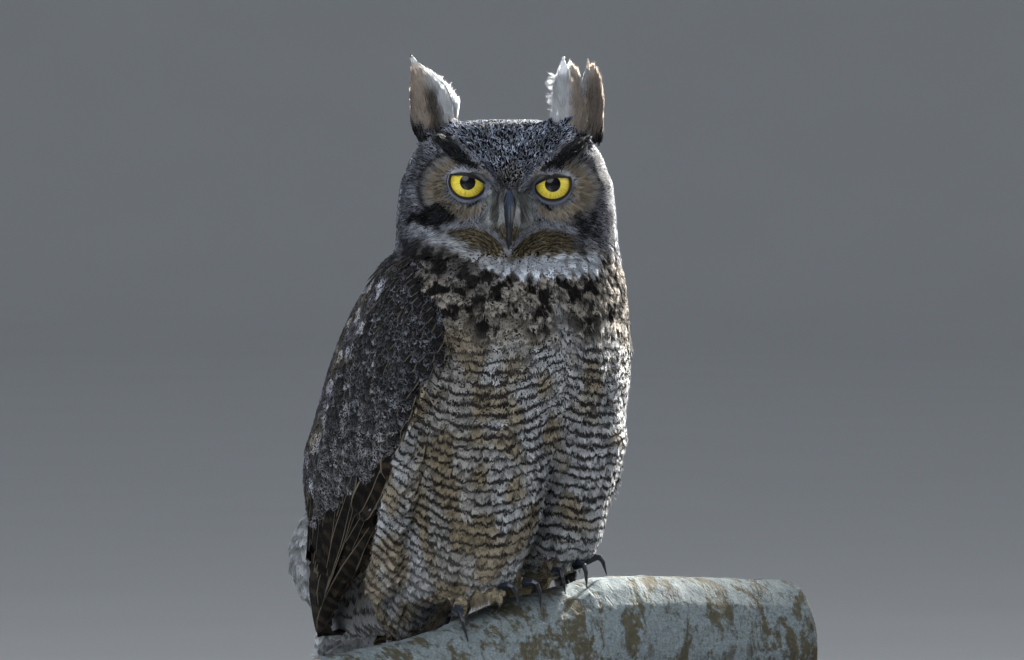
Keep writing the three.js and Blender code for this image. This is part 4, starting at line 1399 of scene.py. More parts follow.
def body_lie(p, up):
    """Feathers run down the front and down and back over the shoulders."""
    behind = ramp(0.1, 0.7, up[:, 1])[:, None]
    down = np.array([0, 0.10, -1.0]) + np.stack([p[:, 0] * 0.0022, p[:, 0] * 0, p[:, 0] * 0], axis=1)
    return laid(down * (1 - behind) + np.array(LIE_OF_WING) * behind, up)


def head_lie(p, up):
    """Feathers run back from the bill over the crown and down behind."""
    h = to_head(p)
    away = unit(h - BILL_ROOT)
    sink = ramp(-30, 50, h[:, 1]) * 0.9 + ramp(10, -60, h[:, 2]) * 0.8
    away[:, 2] -= sink
    return laid(head_vector(away), up)


def face_lie(p, up):
    """Feathers fan out from each eye and from the bill."""
    h = to_head(p)
    x, z = h[:, 0], h[:, 2]
    sign = np.where(x < 0, -1.0, 1.0)
    zero = np.zeros(len(h))
    from_eye = np.stack([x - sign * EYE_CENTRE[0], zero, z - EYE_CENTRE[2] + 2], axis=1)
    near_eye = ramp(34, 20, np.linalg.norm(from_eye, axis=1)) * ramp(8, 20, np.abs(x))
    from_bill = unit(np.column_stack([x, zero, z + 6]))
    lores = np.column_stack([sign * 0.75, -0.5 + zero, zero - 0.75])
    near_bill = ramp(24, 14, np.abs(x)) * ramp(0, -8, z)
    rise = np.interp(np.abs(x), (0, 9, 16, 25, 33, 45, 60), (1.0, 0.9, 0.6, 0.35, 0.0, -0.2, -0.5))
    down = np.column_stack([sign, zero, rise])
    low = ramp(-22, -28, z + 0.4 * np.maximum(np.abs(x) - 26, 0)) * ramp(-56, -48, z)
    bottom = ramp(-46, -56, z)[:, None]
    down = down * (1 - bottom) + np.array((0.0, 0.0, -1.0)) * bottom
    lie = from_bill + near_eye[:, None] * (unit(from_eye) * 1.6 - from_bill)
    lie = lie * (1 - near_bill[:, None]) + lores * near_bill[:, None]
    lie = lie * (1 - low[:, None]) + down * low[:, None]
    return laid(head_vector(lie), up)


def ear_lie(p, up):
    """Feathers run up each ear tuft."""
    h = to_head(p)
    direction = np.zeros_like(h)
    for name, path in EAR_PATHS.items():
        chosen = (h[:, 0] < 0) == (name == "ear_tuft_right")
        low, middle, high = (np.array(q, dtype=float) for q in path)
        t = ramp(50, 95, h[:, 2])[:, None]
        tangent = unit(middle - low) * (1 - t) + unit(high - middle) * t
        direction = np.where(chosen[:, None], tangent, direction)
    return laid(head_vector(direction), up)


def foot_lie(p, up):
    """Feathers run out from each ankle to the toes."""
    direction = np.zeros_like(p)
    for name, ankle in ANKLES.items():
        chosen = (p[:, 0] < -6) == (name == "foot_right")
        out = unit((p - np.array(ankle)) * np.array([1, 1, 0.2])) + np.array([0, 0, -0.35])
        direction = np.where(chosen[:, None], out, direction)
    return laid(direction, up)


class OWL_OT_body(bpy.types.Operator):
    """Plant the feathers of neck, breast, belly and legs"""

    bl_idname = "owl.body"
    bl_label = "Body feathers"

    def execute(self, context):
        soft = plumage_material("owl_barred_plumage", fall=0.4, thin=0.12)
        long = feathers().breast_length / MM
        parts = (("neck", ("neck",), 3.6, long * 0.60, 0.9), ("breast", ("trunk",), 4.6, long, 1.0),
            ("leg", ("leg",), 4.2, long * 0.72, 1.0))
        for number, (name, kinds, spacing, length, lift) in enumerate(parts):
            where = clear_of(kinds, WING_KINDS, 6)
            if name == "leg":
                where *= ramp(7, 12, above_toes(shell_points()))
            places, up, uv = scatter(where, spacing, 10 + number)
            rng = np.random.default_rng(30 + number)
            away, near = self.from_wing(places)
            lie = jittered(laid(body_lie(places, up) + away, up), up, 0.16 - 0.08 * near, 20 + number)
            scale = rng.uniform(0.8, 1.15, len(places)) * (1 - 0.35 * near)
            size = (length * 0.46 * scale, length * scale)
            plant(f"feathers_{name}", "trunk", places, up, uv, lie, size, "contour", soft,
                "barred_feathers", 0.88, 7.5 * lift, seed=40 + number)
            places, up, uv = scatter(where, spacing * 1.05, 50 + number)
            away, near = self.from_wing(places)
            lie = jittered(laid(body_lie(places, up) + away, up), up, 0.22 - 0.12 * near, 60 + number)
            scale = rng.uniform(0.7, 1.1, len(places)) * (1 - 0.35 * near)
            size = (length * 0.40 * scale, length * 0.72 * scale)
            plant(f"down_{name}", "trunk", places, up, uv, lie, size, "plume", soft, "barred_feathers",
                0.85, 5.0 * lift, seed=70 + number, heart=0.3)
        self.flank(soft, long)
        return {"FINISHED"}

    def flank(self, made, long):
        """The long feathers that hang from the leg's edge over the hollow in front of the wing's quills."""
        rng = np.random.default_rng(75)
        count, low, high = 420, 24, 138
        height = rng.uniform(low, high, count)
        share = rng.uniform(0, 1, count) ** 0.8
        leg, wing = (
            np.array([np.interp(height, row[:, 2], row[:, i]) for i in range(2)]).T
            for row in np.array(FLANK))
        places = np.column_stack([leg + (wing - leg) * share[:, None], height])
        places[:, 0] += 2.5 * (1 - share) - 2.5 * np.sin(math.pi * share) + rng.uniform(-0.6, 0.6, count)
        way = np.column_stack(
            [rng.normal(0.02, 0.06, count), rng.normal(0.30, 0.10, count), np.full(count, -1.0)])
        up = unit(
            np.column_stack([np.full(count, -0.85), -0.5 + 0.3 * share, rng.normal(0.25, 0.05, count)]))
        for side in (1, -1):
            turned_over = np.array([side, 1.0, 1.0])
            size = long * rng.uniform(0.75, 1.05, count)
            where, facing = places * turned_over, up * turned_over
            lie = laid(way * turned_over, facing)
            name = "feathers_flank_right" if side == 1 else "feathers_flank_left"
            plant(name, "trunk", where, facing, on_map(where), lie, (size * 0.46, size), "contour", made,
                "barred_feathers", 0.0, 1.0, seed=76 + side)

    def from_wing(self, places):
        """How each feather leans away from the nearest wing, and how near that is, from 0 to 1."""
        edge = shell_points()[shell_mask(*WING_KINDS) > 0]
        tree = KDTree(len(edge))
        for number, point in enumerate(edge):
            tree.insert(point, number)
        tree.balance()
        off = places - np.array([tree.find(place)[0] for place in places])
        near = ramp(26, 8, np.linalg.norm(off, axis=1))
        return unit(off) * 0.7 * near[:, None], near


def face_mask(points):
    """1 on the face: the discs, the lores, the forehead's foot and the chin."""
    h = to_head(points)
    return ramp(-20, -26, h[:, 1]) * ramp(-62, -54, h[:, 2]) * ramp(46, 38, h[:, 2])


def in_head(roots, ways, faces):
    """Roots, ways and faces in the head's own axes, as the owl's places, normals and lies."""
    lie = unit(head_vector(ways))
    return from_head(roots), laid(head_vector(faces), lie), lie


class OWL_OT_head(bpy.types.Operator):
    """Plant the feathers of crown, nape and face"""

    bl_idname = "owl.head"
    bl_label = "Head feathers"

    def execute(self, context):
        soft = plumage_material("owl_head_plumage", barb=0.6, grain=(0.42, 0.22), vary=0.9, streak=0.9,
            fall=0.5)
        fine = plumage_material("owl_face_plumage", barb=0.5, grain=(0.8, 0.08), vary=0.8, streak=1.4,
            thin=0.1)
        points = shell_points()
        head = shell_mask("head")
        h = to_head(points)
        face = face_mask(points) * ramp(3, -2, h[:, 2] - 2 - 1.05 * np.abs(h[:, 0]))
        length = feathers().crown_length / MM
        rng = np.random.default_rng(80)
        places, up, uv = scatter(clear_of(("head",), ("ear",), 5) * (1 - face), 2.72, 81)
        lie = jittered(head_lie(places, up), up, 0.18, 82)
        scale = rng.uniform(0.8, 1.2, len(places)) * (0.62 + 0.38 * ramp(-64, -46, to_head(places)[:, 1]))
        size = (length * 0.42 * scale, length * scale)
        plant("feathers_crown", "head", places, up, uv, lie, size, "contour", soft, "dark_feathers", 0.85,
            3.6, seed=83)
        face = face * head * ramp(0.98, 1.08, eye_reach(to_head(points)))
        places, up, uv = scatter(face, 1.75, 84)
        lie = jittered(face_lie(places, up), up, 0.10, 85)
        h = to_head(places)
        near = np.hypot(np.abs(h[:, 0]) - EYE_CENTRE[0], h[:, 2] - EYE_CENTRE[2])
        long = 5.5 + 6.0 * ramp(18, 32, near) + 3.0 * ramp(-20, -40, h[:, 2])
        long *= rng.uniform(0.8, 1.2, len(places))
        plant("feathers_face", "head", places, up, uv, lie, (long * 0.36, long), "bristle", fine,
            "dark_feathers", 0.8, 2.2, seed=86, heart=0.35)
        self.lores(fine, rng)
        return {"FINISHED"}

    def lores(self, soft, rng):
        """The stiff bristles that stand out beside the bill and over its root."""
        roots, ways, faces, long = [], [], [], []
        for side in (-1, 1):
            for _ in range(190):
                x, z = rng.uniform(2.5, 13.0), rng.uniform(-15, 6)
                roots.append((side * x, -61 - 0.5 * (10 - x), z))
                out = 0.02 + 0.035 * x * 0.6 + rng.normal(0, 0.05)
                ways.append((side * out, -0.72 + rng.normal(0, 0.10), -0.70 + rng.normal(0, 0.08)))
                faces.append((side * 0.8, -0.6, 0.0))
                long.append(rng.uniform(14, 22))
            for _ in range(170):
                x, z = rng.uniform(2.6, 7.0), rng.uniform(-27, 0)
                ridge = np.interp(z, (-27, -22, -12, -3, 0), (-86, -86, -81.5, -72, -69))
                roots.append((side * x, ridge + 1.6 + 0.4 * (x - 3), z))
                out = 0.02 + 0.03 * (x - 3) + rng.normal(0, 0.04)
                ways.append((side * out, 0.12 - 0.75 * ramp(-26, 0, z), -0.8))
                faces.append((side * 0.6, -0.8, 0.0))
                long.append(rng.uniform(10, 15))
        for _ in range(40):
            x = rng.uniform(-6, 6)
            roots.append((x, -60, rng.uniform(2, 8)))
            ways.append((0.05 * x + rng.normal(0, 0.05), -0.5, -0.8))
            faces.append((0.0, -0.8, 0.5))
            long.append(rng.uniform(9, 13))
        roots, long = np.array(roots), np.array(long)
        places, up, lie = in_head(roots, ways, faces)
        plant("bristles_lores", "head", places, up, on_map(places), lie, (long * 0.22, long), "bristle",
            soft, "dark_feathers", 0.0, 1.0, seed=87, heart=0.5)


# Where the tips of each ear tuft's feathers stand, as (x, z) in the head's own axes, outermost first.
EAR_TIPS = {
    "right": ((-81, 62), (-82, 78), (-82, 90), (-80, 96), (-75, 100), (-67, 98), (-57, 92), (-48, 83),
    (-42, 75), (-44, 62)),
    "left_outer": ((72, 62), (73, 78), (71, 94), (67, 103), (64, 106), (60, 103), (57, 96)),
    "left_inner": ((54, 95), (51, 103), (46, 107), (40, 106), (36, 100), (33, 91), (32, 82), (33, 73),
    (38, 64))}
EAR_ROOTS = {"right": ((-70, 37), (-50, 41)), "left_outer": ((70, 40), (58, 42)),
    "left_inner": ((60, 42), (45, 42))}


class OWL_OT_ears(bpy.types.Operator):
    """Plant the long feathers of the ear tufts"""

    bl_idname = "owl.ears"
    bl_label = "Ear tufts"

    def execute(self, context):
        soft = plumage_material("owl_ear_plumage", barb=0.6, grain=(0.8, 0.15), streak=1.0, fall=0.15,
            thin=0.4)
        rng = np.random.default_rng(90)
        where = shell_mask("ear") * ramp(99, 94, to_head(shell_points())[:, 2])
        places, up, uv = scatter(where, 2.4, 91)
        lie = jittered(ear_lie(places, up), up, 0.14, 92)
        room = 106 - to_head(places)[:, 2]
        length = np.clip(room * 0.7, 5, 26) * rng.uniform(0.7, 1.05, len(places))
        plant("feathers_ears", "ear", places, up, uv, lie, (length * 0.34, length), "bristle", soft,
            "dark_feathers", 0.7, 2.4, seed=93)
        roots, tips, faces = [], [], []
        for name, outline in EAR_TIPS.items():
            base = np.array(EAR_ROOTS[name], dtype=float)
            for layer, depth in ((-1, -4.0), (-1, -1.5), (1, 4.0)):
                for t in np.linspace(0, 1, 26) + rng.uniform(-0.02, 0.02, 26):
                    t = min(max(t, 0), 1)
                    tip = along_line(outline, t)
                    start = base[0] + (base[1] - base[0]) * t + rng.uniform(-2, 2, 2)
                    start = start + (tip - start) * rng.uniform(0.0, 0.35)
                    tip = start + (tip - start) * rng.uniform(0.93, 1.0)
                    roots.append((start[0], -15 + depth + rng.uniform(-1, 1), start[1]))
                    tips.append((tip[0], -10 + depth * 0.4, tip[1]))
                    faces.append(layer)
        roots, tips, faces = np.array(roots), np.array(tips), np.array(faces)
        length = np.linalg.norm(tips - roots, axis=1)
        tilt = rng.normal(0, 0.25, len(roots))
        facing = np.column_stack([tilt, faces * 1.0, tilt * 0])
        places, up, lie = in_head(roots, tips - roots, facing)
        plant("feathers_ear_fans", "ear", places, up, on_map(places), lie,
            (np.clip(length * 0.12, 4.5, 6.5), length), "fan", soft, "dark_feathers", 0.0, 2.0, seed=94,
            heart=0.25)
        roots, ways = [], []
        for line, way in ((((-50, 60), (-48, 72), (-62, 88)), (0.50, 0.72)),
            (((44, 60), (39, 74), (38, 92)), (-0.92, 0.24))):
            for t in rng.uniform(0, 1, 70):
                place = along_line(line, t)
                roots.append(
                    (place[0] + rng.uniform(-3, 3), -13 + rng.uniform(-3, 3),
                    place[1] + rng.uniform(-3, 3)))
                ways.append(
                    (way[0] + rng.normal(0, 0.12), rng.normal(0, 0.2), way[1] + rng.normal(0, 0.15)))
        roots, ways = np.array(roots), np.array(ways)
        places, up, lie = in_head(roots, ways, np.tile((0.0, -1.0, 0.0), (len(roots), 1)))
        length = np.where(roots[:, 0] < 0, 0.62, 1.0) * rng.uniform(8, 15, len(roots))
        plant("whiskers_ears", "ear", places, up, on_map(places), lie, (length * 0.28, length), "whisker",
            soft, "pale_feathers", 0.0, 1.0, seed=95, heart=0.9)
        return {"FINISHED"}


class OWL_OT_back(bpy.types.Operator):
    """Plant the feathers of the back, the wing coverts and the tail coverts"""

    bl_idname = "owl.back"
    bl_label = "Back and coverts"

    def execute(self, context):
        firm = plumage_material("owl_covert_plumage", gloss=0.12, grain=(0.33, 0.50), vary=0.8, rim=0.7,
            rim_from=0.84, core=0.26, fall=1.1)
        thin = plumage_material("owl_tail_covert_plumage", fall=0.4, thin=0.45)
        rng = np.random.default_rng(100)
        parts = (("mantle", "mantle", 5.6, 36.0, 0.50, LIE_OF_WING, 5.0, "contour"),
            ("coverts", "coverts", 4.6, 26.0, 0.52, LIE_OF_WING, 4.0, "covert"),
            ("tail_coverts", "tail_coverts", 5.0, 30.0, 0.42, LIE_OF_TAIL, 6.0, "contour"))
        points = shell_points()
        for number, (name, kind, spacing, length, ratio, way, depth, shape) in enumerate(parts):
            where = shell_mask(kind)
            if kind == "mantle":
                where *= ramp(72, 84, points[:, 2])
            if kind == "coverts":
                where *= ramp(-3, 3, points[:, 2] - 115 + 0.47 * (points[:, 1] - 76))
            places, up, uv = scatter(where, spacing, 101 + number)
            lie = jittered(laid(np.tile(way, (len(places), 1)), up), up, 0.12, 110 + number)
            scale = rng.uniform(0.8, 1.15, len(places))
            if kind == "coverts":
                scale *= 0.55 + 0.6 * ramp(270, 120, places[:, 2])
            size = (length * ratio * scale, length * scale)
            made = thin if kind == "tail_coverts" else firm
            slot = "pale_feathers" if kind == "tail_coverts" else "dark_feathers"
            plant(f"feathers_{name}", kind, places, up, uv, lie, size, shape, made, slot, 0.9, depth,
                seed=120 + number, lift=1.8 if kind == "coverts" else 0.0)
        count = 30
        for side in (-1, 1):
            t = np.linspace(0, 1, count)
            roots = np.column_stack([-47 + 4 * t, 160 - 22 * t, 26 + rng.uniform(-8, 8, count)])
            tips = np.column_stack([-28 - 8 * t, 246 - 104 * t, -46 + 12 * t]) + rng.uniform(-2, 2,
                (count, 3))
            roots[:, 0] -= 5 * t
            mirror = np.array([-side, 1.0, 1.0])
            roots, tips = roots * mirror, tips * mirror
            length = np.linalg.norm(tips - roots, axis=1)
            lie = unit(tips - roots)
            up = laid(np.tile((side * 0.8, -0.5, 0.15), (count, 1)), lie)
            name = "feathers_vent_right" if side < 0 else "feathers_vent_left"
            plant(name, "tail_coverts", roots, up, on_map(roots), lie, (20, length), "blade", thin,
                "pale_feathers", 0.0, 2.0, seed=126 + side, heart=0.0)
        return {"FINISHED"}


class OWL_OT_feet(bpy.types.Operator):
    """Plant the short feathers of the toes"""

    bl_idname = "owl.feet"
    bl_label = "Toe feathers"

    def execute(self, context):
        soft = plumage_material("owl_toe_plumage", barb=0.5, vary=0.9)
        rng = np.random.default_rng(130)
        places, up, uv = scatter(shell_mask("foot"), 2.2, 131)
        lie = jittered(foot_lie(places, up), up, 0.25, 132)
        length = rng.uniform(7, 12, len(places))
        plant("feathers_toes", "foot", places, up, uv, lie, (length * 0.5, length), "bristle", soft,
            "toe_feathers", 0.8, 2.0, seed=133, heart=0.3)
        count = 90
        t = rng.uniform(0, 1, count)
        places = np.column_stack([-68 + 19 * t, -8 - 20 * t, 11 + 7 * t]) + rng.uniform(-1.5, 1.5,
            (count, 3))
        places[:, 2] -= rng.uniform(0, 7, count)
        up = unit(np.tile((-0.5, -0.8, 0.1), (count, 1)))
        lie = laid(np.column_stack([rng.normal(0, 0.12, (count, 2)), np.full(count, -1.0)]), up)
        length = rng.uniform(8, 15, count)
        plant("feathers_ankle", "foot", places, up, on_map(places), lie, (length * 0.3, length), "bristle",
            soft, "toe_feathers", 0.0, 1.0, seed=134, heart=0.3)
        return {"FINISHED"}


# ---- flight feathers


def on_side(y, z, side):
    """The place and normal of the wing's outside at a depth and height; side is -1 for the right wing."""
    start = to_row([side * 300.0, y, z])
    hit = work["tree"].ray_cast(Vector(start), Vector((-side, 0, 0)))
    if hit[0] is None:
        return None
    return to_owl(hit[0]), np.array(hit[1])


def along_line(line, t):
    """The place a share t of the way along a line through a few places."""
    points = np.array(line, dtype=float)
    steps = np.linalg.norm(np.diff(points, axis=0), axis=1)
    reach = np.concatenate([[0], np.cumsum(steps)])
    at = t * reach[-1]
    return np.array([np.interp(at, reach, points[:, i]) for i in range(points.shape[1])])


# Tips and outlines in the wing's own plane, as (depth, height) in owl millimetres.
SECONDARY_ROOTS = ((92, 92), (187, 74))
SECONDARY_TIPS = ((190, -10), (203, -25), (215, -35), (226, -35), (229, -24))


def quills(name, kind, rows, made, seed):
    """One piece of flight feathers; a row is side, tip, way, length, width and how far it stands out."""
    places, up, lie, size, under = [], [], [], [], []
    for side, tip, way, length, width, deep in rows:
        way = np.array(way) / np.linalg.norm(way)
        root = np.array(tip) - way * length
        found = on_side(*root, side)
        end = on_side(*(np.array(tip) - way * 8), side)
        if found is None or end is None:
            continue
        run = unit(end[0] - found[0])
        normal = unit(found[1] + end[1])
        places.append(found[0])
        up.append(normal)
        lie.append(laid(run[None], normal[None])[0])
        size.append((width, length))
        under.append(deep)
    places, up, lie, size, under = (np.array(v) for v in (places, up, lie, size, under))
    size = (size[:, 0], size[:, 1])
    return plant(name, kind, places, up, on_map(places), lie, size, "blade", made, "flight_feathers", 0.97,
        2.5 + under, seed=seed, heart=0.1, lift=under)


class OWL_OT_quills(bpy.types.Operator):
    """Lay the flight feathers of the wings"""

    bl_idname = "owl.quills"
    bl_label = "Wing quills"

    def execute(self, context):
        made = plumage_material("owl_quill_plumage", gloss=0.06, grain=(0.5, 0.12))
        work["quill"] = made
        for side, word in ((-1, "right"), (1, "left")):
            rows = []
            for i in range(5):
                rows.append(
                    (side, (214 + 3 * i, -38 + 5 * i), (0.79 - 0.02 * i, -0.61 - 0.02 * i), 150, 12,
                    0.5 + 0.3 * i))
            for i in range(4):
                rows.append((side, (86 + 6 * i, 53 + 5 * i), (0.74, -0.67), 62, 15, 2.2 + 0.4 * i))
            rows.append((side, (45, 106), (0.30, -0.95), 58, 10, 1.0))
            rows.append((side, (55, 97), (0.40, -0.91), 58, 12, 1.6))
            quills(f"quills_primary_{word}", "primaries", rows, made, 140 + side)
            rows = []
            for i in range(14):
                root, tip = along_line(SECONDARY_ROOTS, i / 13), along_line(SECONDARY_TIPS, i / 13)
                rows.append((side, tip, tip - root, np.linalg.norm(tip - root), 13, 1.2 + 0.26 * i))
            quills(f"quills_secondary_{word}", "secondaries", rows, made, 150 + side)
        return {"FINISHED"}


class OWL_OT_tail(bpy.types.Operator):
    """Lay the tail feathers"""

    bl_idname = "owl.tail"
    bl_label = "Tail quills"

    def execute(self, context):
        low, high = (to_owl(corner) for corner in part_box("tail"))
        tree = work["tree"]
        # A ray starts behind the tail, or between it and the legs.
        for face, word, start in ((1, "over", 740.0), (-1, "under", 130.0)):
            places, up, lie, size, depth = [], [], [], [], []
            for i in range(6):
                share = (i + 0.5) / 6 * 2 - 1
                x = (low[0] + high[0]) / 2 + share * (high[0] - low[0]) * 0.42
                ends = []
                for z in (min(high[2] - 4, -20), low[2] + 8):
                    hit = tree.ray_cast(Vector(to_row([x, start, z])), Vector((0, -face, 0)))
                    ends.append((to_owl(hit[0]), np.array(hit[1])) if hit[0] is not None else None)
                if None in ends:
                    continue
                normal = unit(ends[1][1])
                run = unit(ends[1][0] - ends[0][0])
                places.append(ends[0][0])
                up.append(normal)
                lie.append(laid(run[None], normal[None])[0])
                size.append((17.0, np.linalg.norm(ends[1][0] - ends[0][0]) + 7 - 5 * abs(share)))
                depth.append(1.0 + 0.6 * abs(share) * 3)
            places, up, lie, size, depth = (np.array(v) for v in (places, up, lie, size, depth))
            plant(f"quills_tail_{word}", "tail", places, up, on_map(places), lie, (size[:, 0], size[:, 1]),
                "blade", work["quill"], "flight_feathers", 0.9, depth, seed=160 + face, heart=0.2)
        return {"FINISHED"}


# ---- eyes, bill and claws


def grid_mesh(name, points, closed=True):
    """A mesh from rows of points; each row closes on itself where closed."""
    rows, columns = points.shape[:2]
    faces = []
    for j in range(rows - 1):
        for i in range(columns if closed else columns - 1):
            k = (i + 1) % columns
            faces.append((j * columns + i, j * columns + k, (j + 1) * columns + k, (j + 1) * columns + i))
    mesh = bpy.data.meshes.new(name)
    mesh.from_pydata([tuple(p) for p in to_row(points.reshape(-1, 3))], [], faces)
    mesh.shade_smooth()
    return mesh


def face_outwards(mesh):
    """Merges a closed mesh's doubles and turns its faces outwards."""
    work_mesh = bmesh.new()
    work_mesh.from_mesh(mesh)
    bmesh.ops.remove_doubles(work_mesh, verts=work_mesh.verts, dist=1e-7)
    bmesh.ops.holes_fill(work_mesh, edges=work_mesh.edges)
    bmesh.ops.recalc_face_normals(work_mesh, faces=work_mesh.faces)
    work_mesh.to_mesh(mesh)
    work_mesh.free()
    mesh.shade_smooth()


LID_REACH = 16.8
LID_ABOVE = np.array(colour(150, 152, 156))
LID_BELOW = np.array(colour(100, 106, 122))


def lid_top(inwards):
    """Height of the upper lid's edge over the eye's middle, by how far a point is towards the bill."""
    return 5.6 - 0.017 * np.maximum(inwards + 6, 0) ** 2


def opening(side, count):
    """The outline of the open eye about its middle, as (x, z) from the eye's centre."""
    angle = np.linspace(0, 2 * math.pi, count, endpoint=False)
    x = 14.2 * np.cos(angle)
    z = np.where(np.sin(angle) > 0, 14.2, 12.4) * np.sin(angle)
    inwards = -side * x
    z = np.minimum(z, lid_top(inwards))
    return x, z


class OWL_OT_eyes(bpy.types.Operator):
    """Make the eyes and their lids"""

    bl_idname = "owl.eyes"
    bl_label = "Eyes and lids"

    def execute(self, context):
        wet = eye_material()
        bare = lid_material()
        black = tone("black")
        for side, word in ((-1, "right"), (1, "left")):
            centre = EYE_CENTRE * np.array([side, 1, 1])
            rings, spokes = 40, 72
            polar = np.linspace(0.0, math.pi, rings)
            spin = np.linspace(0, 2 * math.pi, spokes, endpoint=False)
            bulge = EYE_RADIUS + 0.6 * np.exp(-((polar / 0.6) ** 2))
            local = np.stack(
                [(bulge * np.sin(polar))[:, None] * np.cos(spin),
                -(bulge * np.cos(polar))[:, None] * np.ones(spokes),
                (bulge * np.sin(polar))[:, None] * np.sin(spin)], axis=2)
            mesh = grid_mesh(f"eye_{word}", from_head(local + centre))
            radius = np.repeat(np.where(polar < math.pi / 2, np.sin(polar), 1.0), spokes)
            around = np.tile(spin, rings)
            put(mesh, "gaze", np.column_stack([radius, radius * np.sin(around), radius * 0]))
            put(mesh, "rays", np.column_stack([np.cos(around) * 9, np.sin(around) * 9, radius * 2.2]))
            face_outwards(mesh)
            finish(new_object(f"eyeball_{word}", mesh), wet, "eye", f"eye_{word}")

            count = 72
            x, z = opening(side, count)
            start = np.hypot(x, z)
            way = np.column_stack([x, z]) / start[:, None]
            over = ramp(-0.1, 0.5, way[:, 1])
            rows, shades = [], []
            rim = ((0.0, -1.0), (0.0, 0.35), (0.3, 0.75), (0.7, 0.75), (1.1, 0.55))
            folds = ((0.15, 0.35), (0.35, 0.75), (0.55, 0.4), (0.75, 0.8), (1.0, 0.2))
            for reach, push in rim:
                rows.append((start + reach, push))
                shades.append(np.tile(black, (count, 1)))
            for share, push in folds:
                rows.append(
                    (start + 1.1 + np.maximum(LID_REACH - 1.6 * way[:, 0] ** 2 - start - 1.1, 0.6) * share,
                    push))
                # The lid darkens towards its black rim, which is its own colour, and more so above the eye:
                # that extra darkness is painted shade, the brow's shadow.
                dark = ramp(0.4, 0.1, share) * (0.3 + 0.6 * over[:, None])
                lid_tint = LID_BELOW + (LID_ABOVE - LID_BELOW) * over[:, None]
                shades.append(lid_tint + (black - lid_tint) * dark)
            points = []
            for reach, push in rows:
                flat = np.minimum(reach, 13.0)
                out = np.sqrt((EYE_RADIUS + push) ** 2 - flat**2) - 1.25 * (reach - flat)
                points.append(np.stack([way[:, 0] * reach, -out, way[:, 1] * reach], axis=1))
            rows = points
            mesh = grid_mesh(f"lids_{word}", from_head(np.array(rows) + centre))
            shade = np.vstack(shades)
            put(mesh, "tint", np.hstack([shade, np.ones((len(shade), 1))]))
            lids = new_object(f"lids_{word}", mesh)
            thick = lids.modifiers.new("wall", "SOLIDIFY")
            thick.thickness = 0.0006
            finish(lids, bare, "dark_feathers")
        return {"FINISHED"}


def smooth_node(node, name, voxel, rounds, made, slot):
    """A smooth piece in place of a faceted CAD node."""
    mesh = remeshed((node,), voxel, 0.0, rounds)
    return finish(new_object(name, mesh), made, slot, node)


# The upper bill along its curve: place in the head's own axes, half width and half depth.
BILL_CURVE = (((0, -57, 1.5), 4.2, 4.4), ((0, -66, -3.5), 5.4, 6.2), ((0, -75, -12), 5.2, 6.8),
    ((0, -80, -22), 4.4, 6.2), ((0, -80.5, -31), 3.4, 4.6), ((0, -78, -38), 2.0, 2.6),
    ((0, -74.6, -43.5), 0.4, 0.5))


def curved(table, count):
    """Rows of numbers read smoothly along a curve through a few rows."""
    table = np.array([np.hstack([np.atleast_1d(v) for v in row]) for row in table], dtype=float)
    padded = np.vstack([2 * table[0] - table[1], table, 2 * table[-1] - table[-2]])
    rows = []
    for at in np.linspace(0, len(table) - 1, count):
        i = min(int(at), len(table) - 2)
        t = at - i
        a, b, c, d = padded[i : i + 4]
        rows.append(
            0.5
            * (2 * b + (c - a) * t + (2 * a - 5 * b + 4 * c - d) * t**2 + (3 * b - a - 3 * c + d) * t**3))
    return np.array(rows)


class OWL_OT_horn(bpy.types.Operator):
    """Make the bill and the claws"""

    bl_idname = "owl.horn"
    bl_label = "Bill and claws"

    def execute(self, context):
        bill = horn_material("owl_bill_horn", colour(13, 15, 22), colour(60, 74, 98), 0.34)
        claw = horn_material("owl_claw_horn", colour(12, 14, 20), colour(50, 60, 78), 0.18)
        spin = np.linspace(0, 2 * math.pi, 28, endpoint=False)
        rings = []
        rows = curved(BILL_CURVE, 34)
        run = unit(np.gradient(rows[:, :3], axis=0))
        for row, way in zip(rows, run):
            front = np.cross(way, (1.0, 0.0, 0.0))
            front *= -np.sign(front[1]) if abs(front[1]) > 0.2 else 1.0
            ridge = np.cos(spin)
            across = np.sin(spin) * (1 - 0.42 * np.maximum(ridge, 0) ** 1.5) * row[3]
            rings.append(row[:3] + np.outer(across, (1, 0, 0)) + np.outer(ridge * row[4], front))
        mesh = grid_mesh("bill_upper_horn", from_head(np.array(rings)))
        face_outwards(mesh)
        finish(new_object("bill_upper_horn", mesh), bill, "horn", "bill_upper")
        smooth_node("bill_lower", "bill_lower_horn", 0.6, 2, bill, "horn")
        for word in ("right", "left"):
            for number in range(1, 5):
                smooth_node(f"claw_{word}_{number}", f"claw_{word}_{number}_horn", 0.45, 2, claw, "horn")
        return {"FINISHED"}


# ---- perch and stand

PERCH_TURN = math.radians(-10)


